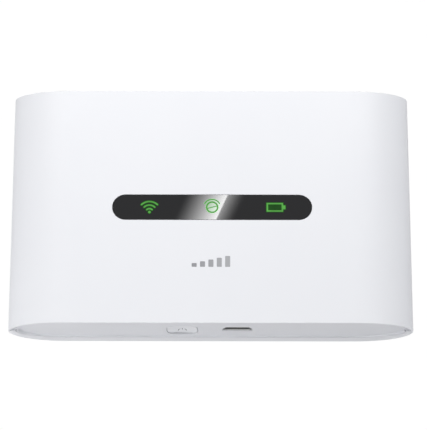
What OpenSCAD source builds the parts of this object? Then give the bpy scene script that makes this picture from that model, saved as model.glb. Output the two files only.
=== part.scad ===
// Pocket mobile hotspot: a front shell and a clip-on rear cover around a frame,
// with a removable battery, two card sockets, a power button and a charging port.
// X runs across the body, Y runs from the port end to the far end, Z is up.
// The body lies on its rear cover, and the origin is at the middle of that face.

/* [Body] */
// Width of the body, from side to side
body_w = 106.5; // [104:0.5:108]
// Depth of the body, from the port end to the far end
body_d = 65.5; // [65:0.5:67]
// Thickness of the body
body_t = 16; // [15.8:0.1:16.4]
// Height of the seam between the front shell and the rear cover
split_z = 8.7; // [8.65:0.05:8.8]
// How far in from each side the faces begin to round over
side_reach = 15; // [13:0.5:16]

/* [Walls] */
// Thickness of the front shell's top
shell_top = 1.4; // [1.3:0.05:1.45]
// Thickness of the front shell's sides
shell_side = 1.5; // [1.3:0.1:1.6]
// Thickness of the front shell's lip around the end walls
shell_lip = 0.6; // [0.5:0.05:0.6]
// Thickness of the rear cover's floor
cover_floor = 1.2; // [1:0.05:1.2]
// Thickness of the rear cover's sides
cover_side = 1.3; // [1:0.1:1.4]
// Height of the rear cover's end rims at the middle
rim_height = 3.2; // [2.8:0.1:3.4]
// Width of the seam between the shell and the cover
seam = 0.25; // [0.15:0.05:0.3]

/* [Window] */
// Length of the indicator window
window_w = 52.8; // [51:0.1:56]
// Width of the indicator window
window_d = 7; // [6.6:0.1:7.4]
// Place of the window from the middle of the body, along its width
window_x = 0.3; // [-1:0.05:1]
// Place of the window from the middle of the body, along its depth
window_y = -0.65; // [-2:0.05:2]
// Thickness of the window lens
lens_t = 0.8; // [0.7:0.05:0.8]
// Distance from one indicator symbol to the next
symbol_pitch = 16.6; // [15:0.2:17.5]
// Line width of the indicator symbols
symbol_line = 0.42; // [0.35:0.01:0.5]

/* [Battery] */
// Width of the battery
battery_w = 60; // [56:0.5:60]
// Depth of the battery, from its closed end to its contact end
battery_d = 44; // [43:0.5:44]
// Thickness of the battery
battery_t = 5.9; // [5.6:0.1:5.9]

/* [Buttons] */
// Width of the power button
button_w = 8; // [7:0.1:8.4]
// Height of the power button
button_h = 5.6; // [5.2:0.1:5.8]
// How far the power button travels
button_travel = 0.35; // [0.2:0.05:0.4]

/* [Hidden] */
$fn = 48;

// Shared sizes
arc_steps = 22;                         // flats along each quarter of the rounded sides
eps = 0.02;                             // clearance between pieces that fit flush
half_w = body_w / 2;
half_d = body_d / 2;
far = 200;                              // longer than anything in the body

// Ends
rabbet_y = half_d - 1.6;                // where the front shell thins to its lip
end_wall_y = half_d - 1.5;              // inner face of the frame's end walls
field_y = half_d - 0.4;                 // outermost part of the sunk face, at its top
scoop_r = 33.5;                         // radius of the hollow across that face
scoop_z = 10.12;                        // height at which the hollow is deepest
scoop_y = half_d - 0.8;                 // its deepest place
scoop_steps = 360;
lip_past = 0.3;                         // how far the lip runs past the seam
wall_gap = 0.25;                        // between an end wall and the shell's lip, at the sides
wall_drop = 0.1;                        // and at the top
wall_foot = 0.6;                        // how far the wall's lower part reaches into the frame
cover_end = 1.2;                        // thickness of the rear cover's end rims
rim_side = 1.8;                         // width of the end rims at the sides
rim_gap = 0.45;                         // gap between the end rims and the frame's lip
lip_t = 0.4;                            // thickness of that lip

// Heights in the frame
frame_low = 1.6;                        // rear face of the frame
skin_t = 1.2;                           // thickness of the frame's rear skin
bay_roof = 7.6;                         // roof of the battery bay
deck_top = 8.4;                         // where the board rests
board_t = 0.8;
board_top = deck_top + board_t;
tub_side = 1.7;                         // from the body's side to the frame's side
tub_end = half_d - 1.5;                 // end of the frame inside the rear cover

// Battery bay and the hollows around it
bay_gap = 0.6;                          // space around the battery
bay_w = battery_w + 2 * bay_gap;
bay_d = battery_d + 2 * bay_gap;
strip_in = 23.9;                        // hollows at the two ends, from here
strip_out = half_d - 2.9;               // to here
strip_w = 80;
pocket_in = 33.6;                       // card pockets, from here
pocket_out = 48.6;                      // to here, on each side
pocket_y = [-17, 15];
terminal_low = 2.8;                     // way through to the battery contacts, from here up
cut = 0.1;                              // how far a cut runs past the face that it opens
notch_gap = 0.4;                        // space beside each tab of the rear cover
notch_d = 0.9;
finger_y = [-13.5, -3.5];               // hollows that let a fingertip lift the battery
finger_roof = 4.8;

// Screws
screw_x = 36;
screw_y = 26.5;
screw_seat = 5.2;                       // height of the face that each head pulls on
head_r = 1.8;
head_t = 1.2;
shank_r = 1;
recess_size = [2.2, 0.44, 0.7];         // arms of the cross recess
shank_top = 12.4;
post_r = 2.8;
boss_r = 2.4;
boss_gap = 0.05;                        // between a boss and the board
pilot_past = 0.4;                       // how much deeper than a screw its pilot hole is
seat_gap = 0.2;                         // space around each head
shank_gap = 0.15;

// Power button
button_x = -7.5;
button_z = 7.55;
button_r = 1.9;                         // corner radius of its face
button_gap = 0.15;
button_face = half_d - 0.7;             // distance of its face from the middle
brim = 0.5;                             // how far the flange stands out around the cap
flange_r = 1;
flange_gap = 0.3;
flange_w = button_w + 2 * brim;
flange_h = button_h + 2 * brim;
flange_y = -(end_wall_y - 0.1);         // outer face of the flange behind the wall
flange_t = 0.6;
dish_r = 15.5;                          // radius of the hollow in its face
dish_depth = 0.5;
dish_steps = 96;
stem_w = 2.4;
stem_z = 10.4;                          // height of the stem and the switch plunger
stem_h = 1.2;
switch_y = -28.9;                       // outer face of the switch
switch_size = [6, 3, 2.4];
plunger_size = [2.6, 1];                // width and height of the switch plunger
plunger_reach = 0.6;                    // how far it stands out of the switch, and into it

// Charging port
port_x = 7;
port_z = 7.1;                           // underside of the metal shell
port_w = 7.5;
port_h = 2.5;
port_d = 5.2;
port_y = -(half_d - 0.8);               // mouth of the metal shell
port_shoulder = 1.3;                    // height at which its sides begin to slope in
port_slope = 0.8;                       // how far they slope in
port_wall = 0.25;
port_back = 0.3;                        // thickness of its closed end
port_gap = 0.15;                        // space around it in the wall
port_block_gap = 0.4;                   // space around it behind the wall
tongue_w = 5;
tongue_t = 0.6;
tongue_z = 1.35;                        // height of the tongue in the port
tongue_set = 0.6;                       // how far the tongue is set back from the mouth
port_base = [5.2, 1];                   // width and depth of the block that carries the tongue
pin_count = 5;
pin_pitch = 0.75;
pin_size = [0.4, 3, 0.1];
pin_set = 0.8;

// Reset button
reset_x = -22;
reset_y = -26.5;
reset_r = 1.1;
reset_h = 4.9;
reset_hole_r = 1.3;
reset_low = 2;                          // height of the button's outer face
reset_brim = [1.7, 0.4, 0.9];           // radius, thickness and height of its brim
reset_base = [4, 3.4, 0.9];             // size of the switch under it
reset_dome = [0.8, 0.25, 0.2];          // radius, height and reach of the switch's dome

// Card sockets
socket_roof = 7.8;                      // underside of the socket bases
socket_low = 6.5;                       // underside of the metal covers
sheet_t = 0.2;                          // thickness of stamped metal
sim_socket = [13.8, 14];
sim_size = [12, 15, 0.8];
sim_x = 41.3;
memory_socket = [13, 15];
memory_size = [11, 15, 0.75];
memory_x = -41.3;
blade_size = [0.7, 2.5, 0.1];           // contact blades in both sockets
blade_y = [3, 6];                       // first row, and distance to the second
sim_columns = 3;
sim_blade_pitch = 2.54;
sim_cut = 1.8;
memory_columns = 4;
memory_blade_pitch = 1.1;
memory_cut = 1.5;
card_y = -1.4;                          // edge of each card that stands out of its socket
card_z = 6.85;

// Battery contacts
terminal_x = -8;
terminal_w = 11;
contact_pitch = 2.6;
contact_count = 4;
terminal_gap = 0.5;                     // space beside the battery connector

// Shields and chips
shield_t = 1.8;
shield_wall = 0.2;
chip_t = 0.9;
board_r = 2;
board_gap = 0.2;                        // space around each screw in the board
port_cut = 0.15;                        // space around the port in the board
cap_size = [1.6, 0.8, 0.8];             // small capacitors
cap_pitch = [2.6, 2.4];
cap_from = [-7.5, -12];
cap_columns = 6;
cap_rows = 3;
coil_size = [3, 3, 1.2];                // square inductors
coil_x = 5;
coil_y = -8.6;
spreader_size = [24, 13, 0.15];
spreader_at = [-17, 14.5];
spreader_r = 1;

// ---------------------------------------------------------------- shared shapes

// Upper or lower half of the body's end outline, as points in X and Z.
// edge_z above the seam gives the upper half, and below it the lower half.
// past carries the outline straight on beyond the seam.
function half_outline(half, edge_z, reach, past = 0) =
    let (rise = edge_z - split_z, beyond = split_z - sign(rise) * past)
    concat(
        past > 0 ? [[half, beyond]] : [],
        [for (i = [0:arc_steps]) let (t = 90 * i / arc_steps)
            [half - reach + reach * cos(t), split_z + rise * sin(t)]],
        [for (i = [0:arc_steps]) let (t = 90 + 90 * i / arc_steps)
            [-(half - reach) + reach * cos(t), split_z + rise * sin(t)]],
        past > 0 ? [[-half, beyond]] : []
    );

// Prism of a half outline between two Y places
module half_body(half, edge_z, reach, from, to, past = 0)
    translate([0, to, 0])
        rotate([90, 0, 0])
            linear_extrude(to - from)
                polygon(half_outline(half, edge_z, reach, past));

// Box from one corner to the other
module block(low, high)
    translate(low)
        cube(high - low);

// Plate with round corners, centred in X and Y and standing on z = 0
module round_plate(w, d, h, r) {
    translate([-w / 2 + r, -d / 2, 0])
        cube([w - 2 * r, d, h]);
    translate([-w / 2, -d / 2 + r, 0])
        cube([w, d - 2 * r, h]);
    for (x = [-1, 1], y = [-1, 1])
        translate([x * (w / 2 - r), y * (d / 2 - r), 0])
            cylinder(r = r, h = h);
}

// Plate with fully round ends, centred in X and Y
module stadium(w, d, h) {
    translate([-(w - d) / 2, -d / 2, 0])
        cube([w - d, d, h]);
    for (x = [-1, 1])
        translate([x * (w - d) / 2, 0, 0])
            cylinder(r = d / 2, h = h);
}

// Upright plate with round corners, facing the port end, between two Y places
module end_plate(w, h, r, from, to)
    translate([0, to, 0])
        rotate([90, 0, 0])
            round_plate(w, h, to - from, r);

// Part of a flat ring about the Z axis, centred on the +Y direction
module ring_part(r, line, half_angle, h)
    rotate([0, 0, 90 - half_angle])
        rotate_extrude(angle = 2 * half_angle)
            translate([r - line / 2, 0])
                square([line, h]);

// Moved to the middle of the window, at one height
module at_window(z)
    translate([window_x, window_y, z])
        children();

// One copy at each screw
module at_screws()
    for (x = [-1, 1], y = [-1, 1])
        translate([x * screw_x, y * screw_y, 0])
            children();

// ---------------------------------------------------------------- window

lens_z = body_t - lens_t;
tape_t = 0.1;
ledge_w = 2;                            // width of the ledge that carries the lens
opening_w = window_w - 2 * ledge_w;
opening_d = window_d - 2.3;
recess_gap = 0.1;                       // space around the lens
tape_set = 0.2;                         // how far the tape is set back from the lens's edge
tape_gap = 0.1;                         // how far it is set back from the opening
diffuser_gap = 0.2;
baffle_r = 1;
diffuser_t = 0.5;
baffle_size = [50, 6];
baffle_top = body_t - shell_top - 0.1;
chamber_size = [9, 4.4];                // light chamber under each symbol
led_size = [1.6, 0.8, 0.6];
arcs_y = -1.4;                          // centre of the three arcs, from the window's middle
arcs_r = [0.97, 1.97, 2.97];
arcs_angle = 47;                        // half of the angle that the arcs span
dot_share = 0.85;                       // radius of the dot as a share of the line width
orbit_r = 1.45;                         // ring of the middle symbol
orbit_gap = 0.75;                       // from the ring to the arc around it
orbit_angle = 62;
orbit_line = 0.3;                       // how much thinner that arc is, as a share of the line
orbit_bar = 0.6;                        // width of the bar as a share of the line
orbit_tilt = 15;
charge_size = [4.4, 2.5];
charge_nub = [0.6, 1.1];

// Three arcs over a dot, with every line grown by the same amount on both sides
module wireless_shape(grow, h) {
    line = symbol_line + 2 * grow;
    translate([0, arcs_y, 0]) {
        cylinder(r = dot_share * line, h = h);
        for (r = arcs_r)
            ring_part(r, line, arcs_angle, h);
    }
}

// Ring crossed by a tilted bar, with an arc above it
module network_shape(grow, h) {
    line = symbol_line + 2 * grow;
    bar = orbit_bar * symbol_line + 2 * grow;
    ring_part(orbit_r, line, 180, h);
    ring_part(orbit_r + orbit_gap, line - orbit_line * symbol_line, orbit_angle, h);
    rotate([0, 0, orbit_tilt])
        translate([-orbit_r, -bar / 2, 0])
            cube([2 * orbit_r, bar, h]);
}

// Outline of a battery, lying on its side
module charge_shape(grow, h) {
    rim = symbol_line + grow;
    difference() {
        translate([-charge_size[0] / 2 - grow, -charge_size[1] / 2 - grow, 0])
            cube([charge_size[0] + 2 * grow, charge_size[1] + 2 * grow, h]);
        translate([-charge_size[0] / 2 + rim, -charge_size[1] / 2 + rim, -h])
            cube([charge_size[0] - 2 * rim, charge_size[1] - 2 * rim, 3 * h]);
    }
    translate([charge_size[0] / 2, -charge_nub[1] / 2 - grow, 0])
        cube([charge_nub[0] + grow, charge_nub[1] + 2 * grow, h]);
}

module window_lens() color("#1c1c1e")
    difference() {
        at_window(lens_z)
            stadium(window_w, window_d, lens_t);
        at_window(lens_z - lens_t) {
            translate([-symbol_pitch, 0, 0])
                wireless_shape(eps, 3 * lens_t);
            network_shape(eps, 3 * lens_t);
            translate([symbol_pitch, 0, 0])
                charge_shape(eps, 3 * lens_t);
        }
    }

module lens_tape() color("#303030")
    at_window(lens_z - tape_t)
        difference() {
            stadium(window_w - 2 * tape_set, window_d - 2 * tape_set, tape_t);
            translate([0, 0, -tape_t])
                stadium(opening_w + 4 * tape_gap, opening_d + 2 * tape_gap, 3 * tape_t);
        }

module wireless_symbol() color("#5fc44f")
    at_window(lens_z)
        translate([-symbol_pitch, 0, 0])
            wireless_shape(0, lens_t);

module network_symbol() color("#5fc44f")
    at_window(lens_z)
        network_shape(0, lens_t);

module charge_symbol() color("#5fc44f")
    at_window(lens_z)
        translate([symbol_pitch, 0, 0])
            charge_shape(0, lens_t);

module diffuser_strip() color("#f0f0ec")
    at_window(baffle_top)
        stadium(opening_w - 2 * diffuser_gap, opening_d - 2 * diffuser_gap, diffuser_t);

module light_baffle() color("#e8e8e4")
    difference() {
        at_window(board_top)
            round_plate(baffle_size[0], baffle_size[1], baffle_top - board_top, baffle_r);
        at_window(board_top - 1)
            for (i = [-1:1])
                translate([i * symbol_pitch - chamber_size[0] / 2, -chamber_size[1] / 2, 0])
                    cube([chamber_size[0], chamber_size[1], far]);
    }

module status_leds() color("#fafad2")
    at_window(board_top)
        for (i = [-1:1])
            translate([i * symbol_pitch - led_size[0] / 2, -led_size[1] / 2, 0])
                cube(led_size);

// ---------------------------------------------------------------- signal mark

bar_count = 5;
bar_w = 1.3;
bar_pitch = 2.2;
bar_low = 1;                            // height of the shortest bar
bar_step = 0.5;
mark_y = -17.35;
mark_depth = 0.1;

// Bars that rise from left to right
module bars(grow, h)
    for (i = [0:bar_count - 1])
        translate([(i - (bar_count - 1) / 2) * bar_pitch - bar_w / 2 - grow, mark_y - grow, 0])
            cube([bar_w + 2 * grow, bar_low + i * bar_step + 2 * grow, h]);

module signal_mark() color("#a8a9ac")
    translate([0, 0, body_t - mark_depth + eps])
        bars(0, mark_depth - eps);

// ---------------------------------------------------------------- front shell

module front_shell() color("white")
    difference() {
        union() {
            difference() {
                half_body(half_w, body_t, side_reach, -half_d, half_d);
                half_body(half_w - shell_side, body_t - shell_top, side_reach - shell_side,
                          -far, far, past = 1);
                for (end = [-1, 1])
                    half_body(half_w - shell_lip, body_t - shell_lip, side_reach - shell_lip,
                              end > 0 ? rabbet_y : -far, end > 0 ? far : -rabbet_y, past = 1);
            }
            at_screws()
                translate([0, 0, board_top + boss_gap])
                    cylinder(r = boss_r, h = body_t - shell_top / 2 - board_top - boss_gap);
        }
        at_screws()
            cylinder(r = shank_r + eps, h = shank_top + pilot_past);
        at_window(lens_z - tape_t)
            stadium(window_w + 2 * recess_gap, window_d + 2 * recess_gap, far);
        at_window(body_t - 2 * shell_top)
            stadium(opening_w, opening_d, far);
        translate([0, 0, body_t - mark_depth])
            bars(eps, far);
    }

// ---------------------------------------------------------------- rear cover

tab_x = 25;
tab_size = [9, 0.8];
nail_r = 9;                             // radius of the fingernail notch in the far rim
nail_depth = 1.3;

module rear_cover() color("#f4f4f4")
    union() {
        difference() {
            half_body(half_w, 0, side_reach, -half_d, half_d);
            half_body(half_w - cover_side, cover_floor, side_reach - cover_side,
                      -(half_d - cover_end), half_d - cover_end, past = 1);
            half_body(half_w - rim_side, rim_height, side_reach - rim_side, -far, far, past = 1);
            block([-far, -far, split_z - seam], [far, far, far]);
            translate([0, far, rim_height - nail_depth + nail_r])
                rotate([90, 0, 0])
                    cylinder(r = nail_r, h = far - half_d + cover_end + cut);
        }
        for (x = [-1, 1], end = [-1, 1])
            translate([x * tab_x - tab_size[0] / 2,
                       end > 0 ? half_d - cover_end - tab_size[1] : -(half_d - cover_end) - eps,
                       cover_floor - eps])
                cube([tab_size[0], tab_size[1] + eps, rim_height - cover_floor]);
    }

// ---------------------------------------------------------------- frame

// Outline of the charging port, grown all round
function port_points(grow) = [
    [-port_w / 2 - grow, -grow],
    [port_w / 2 + grow, -grow],
    [port_w / 2 + grow, port_shoulder + grow / 2],
    [port_w / 2 - port_slope + grow / 2, port_h + grow],
    [-(port_w / 2 - port_slope) - grow / 2, port_h + grow],
    [-port_w / 2 - grow, port_shoulder + grow / 2]
];

// Prism of that outline between two Y places
module port_prism(grow, from, to)
    translate([port_x, to, port_z])
        rotate([90, 0, 0])
            linear_extrude(to - from)
                polygon(port_points(grow));

// Hollow across the sunk face of an end wall, inside its lip
module scoop(side, low)
    intersection() {
        translate([0, scoop_y + scoop_r, scoop_z])
            rotate([0, 90, 0])
                cylinder(r = scoop_r, h = far, center = true, $fn = scoop_steps);
        union() {
            half_body(half_w - side - lip_t, low + lip_t, side_reach - side - lip_t,
                      end_wall_y, far, past = 1);
            block([-far, end_wall_y, split_z + lip_past], [far, far, far]);
        }
    }

// One end wall of the frame, at the far end
module end_wall() {
    low = rim_height + rim_gap;
    side = rim_side + rim_gap;
    inset = shell_lip + wall_gap;
    difference() {
        union() {
            half_body(half_w - side, low, side_reach - side, end_wall_y - wall_foot, half_d,
                      past = lip_past);
            half_body(half_w - inset, body_t - shell_lip - wall_drop, side_reach - inset,
                      end_wall_y, field_y);
        }
        scoop(side, low);
    }
}

// Body of the frame inside the rear cover
module tub()
    difference() {
        half_body(half_w - tub_side, frame_low, side_reach - tub_side, -tub_end, tub_end);
        block([-far, -far, deck_top], [far, far, far]);
    }

// Hollows around the battery bay, open towards the board
module strips()
    difference() {
        for (end = [-1, 1])
            translate([-strip_w / 2, end > 0 ? strip_in : -strip_out, frame_low + skin_t])
                cube([strip_w, strip_out - strip_in, far]);
        at_screws()
            cylinder(r = post_r, h = deck_top);
    }

module mid_frame() color("#ececee")
    difference() {
        union() {
            tub();
            end_wall();
            mirror([0, 1, 0])
                end_wall();
        }
        strips();
        // Battery bay and the way through to its contacts
        block([-bay_w / 2, -bay_d / 2, -1], [bay_w / 2, bay_d / 2, bay_roof]);
        block([terminal_x - terminal_w / 2 - terminal_gap, bay_d / 2 - cut, terminal_low],
              [terminal_x + terminal_w / 2 + terminal_gap, strip_in + cut, far]);
        // Card pockets
        for (side = [-1, 1])
            block([side > 0 ? pocket_in : -pocket_out, pocket_y[0], -1],
                  [side > 0 ? pocket_out : -pocket_in, pocket_y[1], far]);
        // Finger hollows beside the battery
        for (side = [-1, 1])
            block([side > 0 ? bay_w / 2 - cut : -pocket_in - cut, finger_y[0], -1],
                  [side > 0 ? pocket_in + cut : -bay_w / 2 + cut, finger_y[1], finger_roof]);
        // Screws
        at_screws() {
            cylinder(r = shank_r + shank_gap, h = far);
            cylinder(r = head_r + seat_gap, h = screw_seat);
        }
        // Notches for the rear cover's tabs
        for (x = [-1, 1], end = [-1, 1])
            translate([x * tab_x - tab_size[0] / 2 - notch_gap, end > 0 ? tub_end - notch_d : -far, 0])
                cube([tab_size[0] + 2 * notch_gap, far - tub_end + notch_d, rim_height + rim_gap]);
        // Power button
        translate([button_x, 0, button_z]) {
            end_plate(button_w + 2 * button_gap, button_h + 2 * button_gap,
                      button_r + button_gap, -far, -end_wall_y + 2 * flange_gap);
            end_plate(flange_w + 2 * flange_gap, flange_h + 2 * flange_gap, flange_r,
                      -end_wall_y, -strip_out + cut);
        }
        // Charging port
        port_prism(port_gap, -far, -strip_out + cut);
        block([port_x - port_w / 2 - port_block_gap, -end_wall_y, port_z - port_block_gap],
              [port_x + port_w / 2 + port_block_gap, -strip_out + cut, far]);
        // Reset button
        translate([reset_x, reset_y, 0])
            cylinder(r = reset_hole_r, h = far);
    }

label_size = [44, 28, 0.06];            // label in the battery bay
label_r = 2;

module bay_label() color("#e4e4e0")
    translate([0, 0, bay_roof - label_size[2]])
        round_plate(label_size[0], label_size[1], label_size[2], label_r);

// Pan-head screws with a cross recess, driven in from the rear
module case_screws() color("#8d9096")
    at_screws()
        difference() {
            union() {
                translate([0, 0, screw_seat - head_t])
                    cylinder(r = head_r, h = head_t);
                translate([0, 0, screw_seat - cut])
                    cylinder(r = shank_r, h = shank_top - screw_seat + cut);
            }
            for (turn = [0, 90])
                rotate([0, 0, turn])
                    translate([-recess_size[0] / 2, -recess_size[1] / 2, 0])
                        cube([recess_size[0], recess_size[1],
                              screw_seat - head_t + recess_size[2]]);
        }

// ---------------------------------------------------------------- board

board_size = [97.6, 59.4];

module main_board() color("#1f5c3a")
    difference() {
        translate([0, 0, deck_top])
            round_plate(board_size[0], board_size[1], board_t, board_r);
        at_screws()
            cylinder(r = shank_r + board_gap, h = far);
        block([port_x - port_w / 2 - port_cut, -half_d, 0],
              [port_x + port_w / 2 + port_cut, port_y + port_d + port_cut, far]);
    }

// Stamped can, open at the bottom, standing on the board
module shield_can(low, high)
    difference() {
        block([low[0], low[1], board_top], [high[0], high[1], board_top + shield_t]);
        block([low[0] + shield_wall, low[1] + shield_wall, 0],
              [high[0] - shield_wall, high[1] - shield_wall, board_top + shield_t - shield_wall]);
    }

module modem_shield() color("#c2c4c8") shield_can([-31, 6], [-3, 23]);
module radio_shield() color("#c2c4c8") shield_can([3, 6], [31, 23]);
module wifi_shield() color("#c2c4c8") shield_can([-31, -23], [-13, -6]);
module power_shield() color("#c2c4c8") shield_can([13, -23], [31, -6]);

// Each chip is its centre and its side
chips = [[-22, 15, 12], [-9, 14.5, 8], [12, 15, 9], [23, 14.5, 6], [-22, -14.5, 7], [22, -14.5, 6]];

module board_chips() color("#2a2a2c")
    for (chip = chips)
        translate([chip[0] - chip[2] / 2, chip[1] - chip[2] / 2, board_top])
            cube([chip[2], chip[2], chip_t]);

// Small capacitors in rows, and two square inductors
module board_passives() color("#b09a78") {
    for (column = [0:cap_columns - 1], row = [0:cap_rows - 1])
        translate([cap_from[0] + column * cap_pitch[0], cap_from[1] - row * cap_pitch[1], board_top])
            cube(cap_size);
    for (side = [-1, 1])
        translate([side * coil_x - coil_size[0] / 2, coil_y, board_top])
            cube(coil_size);
}

module heat_spreader() color("#3a3a3d")
    translate([spreader_at[0], spreader_at[1], board_top + shield_t])
        round_plate(spreader_size[0], spreader_size[1], spreader_size[2], spreader_r);

// ---------------------------------------------------------------- charging port

module usb_shell() color("#b9bbc0")
    difference() {
        port_prism(0, port_y, port_y + port_d);
        port_prism(-port_wall, -far, port_y + port_d - port_back);
    }

module usb_tongue() color("#26262a") {
    back = port_y + port_d - port_back - eps;
    block([port_x - tongue_w / 2, port_y + tongue_set, port_z + tongue_z],
          [port_x + tongue_w / 2, back, port_z + tongue_z + tongue_t]);
    block([port_x - port_base[0] / 2, back - port_base[1], port_z + port_wall + eps],
          [port_x + port_base[0] / 2, back, port_z + port_h - port_wall - eps]);
}

module usb_contacts() color("#d9b24a")
    for (i = [0:pin_count - 1])
        translate([port_x + (i - (pin_count - 1) / 2) * pin_pitch - pin_size[0] / 2,
                   port_y + pin_set, port_z + tongue_z - pin_size[2]])
            cube(pin_size);

// ---------------------------------------------------------------- buttons

module power_button() color("#f2f2f3")
    difference() {
        union() {
            translate([button_x, 0, button_z]) {
                end_plate(button_w, button_h, button_r, -button_face, flange_y + cut);
                end_plate(flange_w, flange_h, flange_r, flange_y, flange_y + flange_t);
            }
            block([button_x - stem_w / 2, flange_y + flange_t - cut, stem_z - stem_h / 2],
                  [button_x + stem_w / 2, switch_y - plunger_reach, stem_z + stem_h / 2]);
        }
        translate([button_x, -button_face - dish_r + dish_depth, button_z])
            sphere(r = dish_r, $fn = dish_steps);
    }

module switch_plunger() color("#303033")
    block([button_x - plunger_size[0] / 2, switch_y - plunger_reach, stem_z - plunger_size[1] / 2],
          [button_x + plunger_size[0] / 2, switch_y + plunger_reach, stem_z + plunger_size[1] / 2]);

module power_switch() color("#c8c9cc")
    difference() {
        block([button_x - switch_size[0] / 2, switch_y, board_top],
              [button_x + switch_size[0] / 2, switch_y + switch_size[1], board_top + switch_size[2]]);
        block([button_x - plunger_size[0] / 2 - cut, switch_y - 1, stem_z - plunger_size[1] / 2 - cut],
              [button_x + plunger_size[0] / 2 + cut,
               switch_y + plunger_reach + button_travel + 2 * cut,
               stem_z + plunger_size[1] / 2 + cut]);
    }

module reset_button() color("#4a4b50")
    translate([reset_x, reset_y, reset_low]) {
        cylinder(r = reset_r, h = reset_h);
        translate([0, 0, reset_brim[2]])
            cylinder(r = reset_brim[0], h = reset_brim[1]);
    }

module reset_switch() color("#c8c9cc")
    translate([reset_x, reset_y, deck_top]) {
        translate([-reset_base[0] / 2, -reset_base[1] / 2, -reset_base[2]])
            cube(reset_base);
        translate([0, 0, -reset_base[2] - reset_dome[2]])
            cylinder(r = reset_dome[0], h = reset_dome[1]);
    }

// ---------------------------------------------------------------- card sockets

module socket_base(x, size)
    block([x - size[0] / 2, 0, socket_roof], [x + size[0] / 2, size[1], deck_top]);

// Stamped cover, open towards the port end
module socket_cover(x, size)
    difference() {
        block([x - size[0] / 2, 0, socket_low], [x + size[0] / 2, size[1], socket_roof]);
        block([x - size[0] / 2 + sheet_t, -1, socket_low + sheet_t],
              [x + size[0] / 2 - sheet_t, size[1] - sheet_t, far]);
    }

// Contact blades under a base, in two rows
module socket_contacts(x, columns, pitch)
    for (column = [0:columns - 1], row = [0, 1])
        translate([x + (column - (columns - 1) / 2) * pitch - blade_size[0] / 2,
                   blade_y[0] + row * blade_y[1], socket_roof - blade_size[2]])
            cube(blade_size);

// Card with one corner cut off
module corner_cut_card(x, size, cut)
    translate([x - size[0] / 2, card_y, card_z])
        linear_extrude(size[2])
            polygon([
                [0, 0], [size[0], 0], [size[0], size[1] - cut],
                [size[0] - cut, size[1]], [0, size[1]]
            ]);

module sim_base() color("#2e2e30") socket_base(sim_x, sim_socket);
module sim_cover() color("#c6c8cc") socket_cover(sim_x, sim_socket);
module sim_contacts() color("#d9b24a") socket_contacts(sim_x, sim_columns, sim_blade_pitch);
module sim_card() color("#dfe3e8") corner_cut_card(sim_x, sim_size, sim_cut);
module memory_base() color("#2e2e30") socket_base(memory_x, memory_socket);
module memory_cover() color("#c6c8cc") socket_cover(memory_x, memory_socket);
module memory_contacts() color("#d9b24a")
    socket_contacts(memory_x, memory_columns, memory_blade_pitch);
module memory_card() color("#222226") corner_cut_card(memory_x, memory_size, memory_cut);

// ---------------------------------------------------------------- battery

cap_d = 2.4;                            // depth of the contact end's cap
battery_end = battery_d / 2;
pad_size = [1.8, 0.12, 2.6];
pad_z = 3;
cell_r = 1.2;
wrap_size = [6, 8, 0.08];               // how much smaller the label is, and its thickness
wrap_r = 1.5;
spring_tip = battery_end + 0.25;
spring_w = 0.8;
spring_z = [3.8, 5];
socket_z = 3.1;                         // underside of the battery connector
socket_y = [0.2, 3.6];                  // its place, from the wall of the bay

// X place of each battery contact
function contact_x(i) = terminal_x + (i - (contact_count - 1) / 2) * contact_pitch;

module battery_cell() color("#3b3d42")
    translate([0, -cap_d / 2, frame_low])
        round_plate(battery_w, battery_d - cap_d, battery_t, cell_r);

module battery_cap() color("#232326")
    block([-battery_w / 2, battery_end - cap_d, frame_low],
          [battery_w / 2, battery_end, frame_low + battery_t]);

module battery_pads() color("#dcb552")
    for (i = [0:contact_count - 1])
        translate([contact_x(i) - pad_size[0] / 2, battery_end, pad_z])
            cube(pad_size);

module battery_label() color("#d8d9dc")
    translate([0, -cap_d / 2, frame_low - wrap_size[2]])
        round_plate(battery_w - wrap_size[0], battery_d - wrap_size[1], wrap_size[2], wrap_r);

module battery_terminal() color("#2a2a2d")
    block([terminal_x - terminal_w / 2, bay_d / 2 + socket_y[0], socket_z],
          [terminal_x + terminal_w / 2, bay_d / 2 + socket_y[1], deck_top]);

module terminal_springs() color("#dcb552")
    for (i = [0:contact_count - 1])
        block([contact_x(i) - spring_w / 2, spring_tip, spring_z[0]],
              [contact_x(i) + spring_w / 2, bay_d / 2 + socket_y[0], spring_z[1]]);

// ---------------------------------------------------------------- antennas

carrier_y = [25.2, 29.4];
carrier_w = 56;
carrier_top = 12.4;
slot_count = 7;
slot_pitch = 7;
sticker_size = [10, 28];
sticker_x = 32;
sticker_t = 0.15;
sticker_r = 0.8;
sticker_slots = [-9, -4.5, 0, 4.5, 9];
slot_w = 0.8;
slot_from = 3;                          // where the slots of a sticker begin, from its middle
slot_shift = [2, 1.6];                  // how much the middle slot is shorter; place of each slot
carrier_wall = 1;
strip_set = 0.3;                        // how far the winding strip is set in on its carrier
slot_end = 1.1;
pin_y = 4;
pin_shift = 2;                          // from the middle of a sticker to its pins
pin_sleeve = [0.8, 2.6];
pin_r = 0.45;

module antenna_carrier() color("#d9d9d6")
    difference() {
        block([-carrier_w / 2, carrier_y[0], board_top], [carrier_w / 2, carrier_y[1], carrier_top]);
        block([-carrier_w / 2 + carrier_wall, carrier_y[0] + carrier_wall, 0],
              [carrier_w / 2 - carrier_wall, carrier_y[1] - carrier_wall,
               carrier_top - carrier_wall]);
    }

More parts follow.
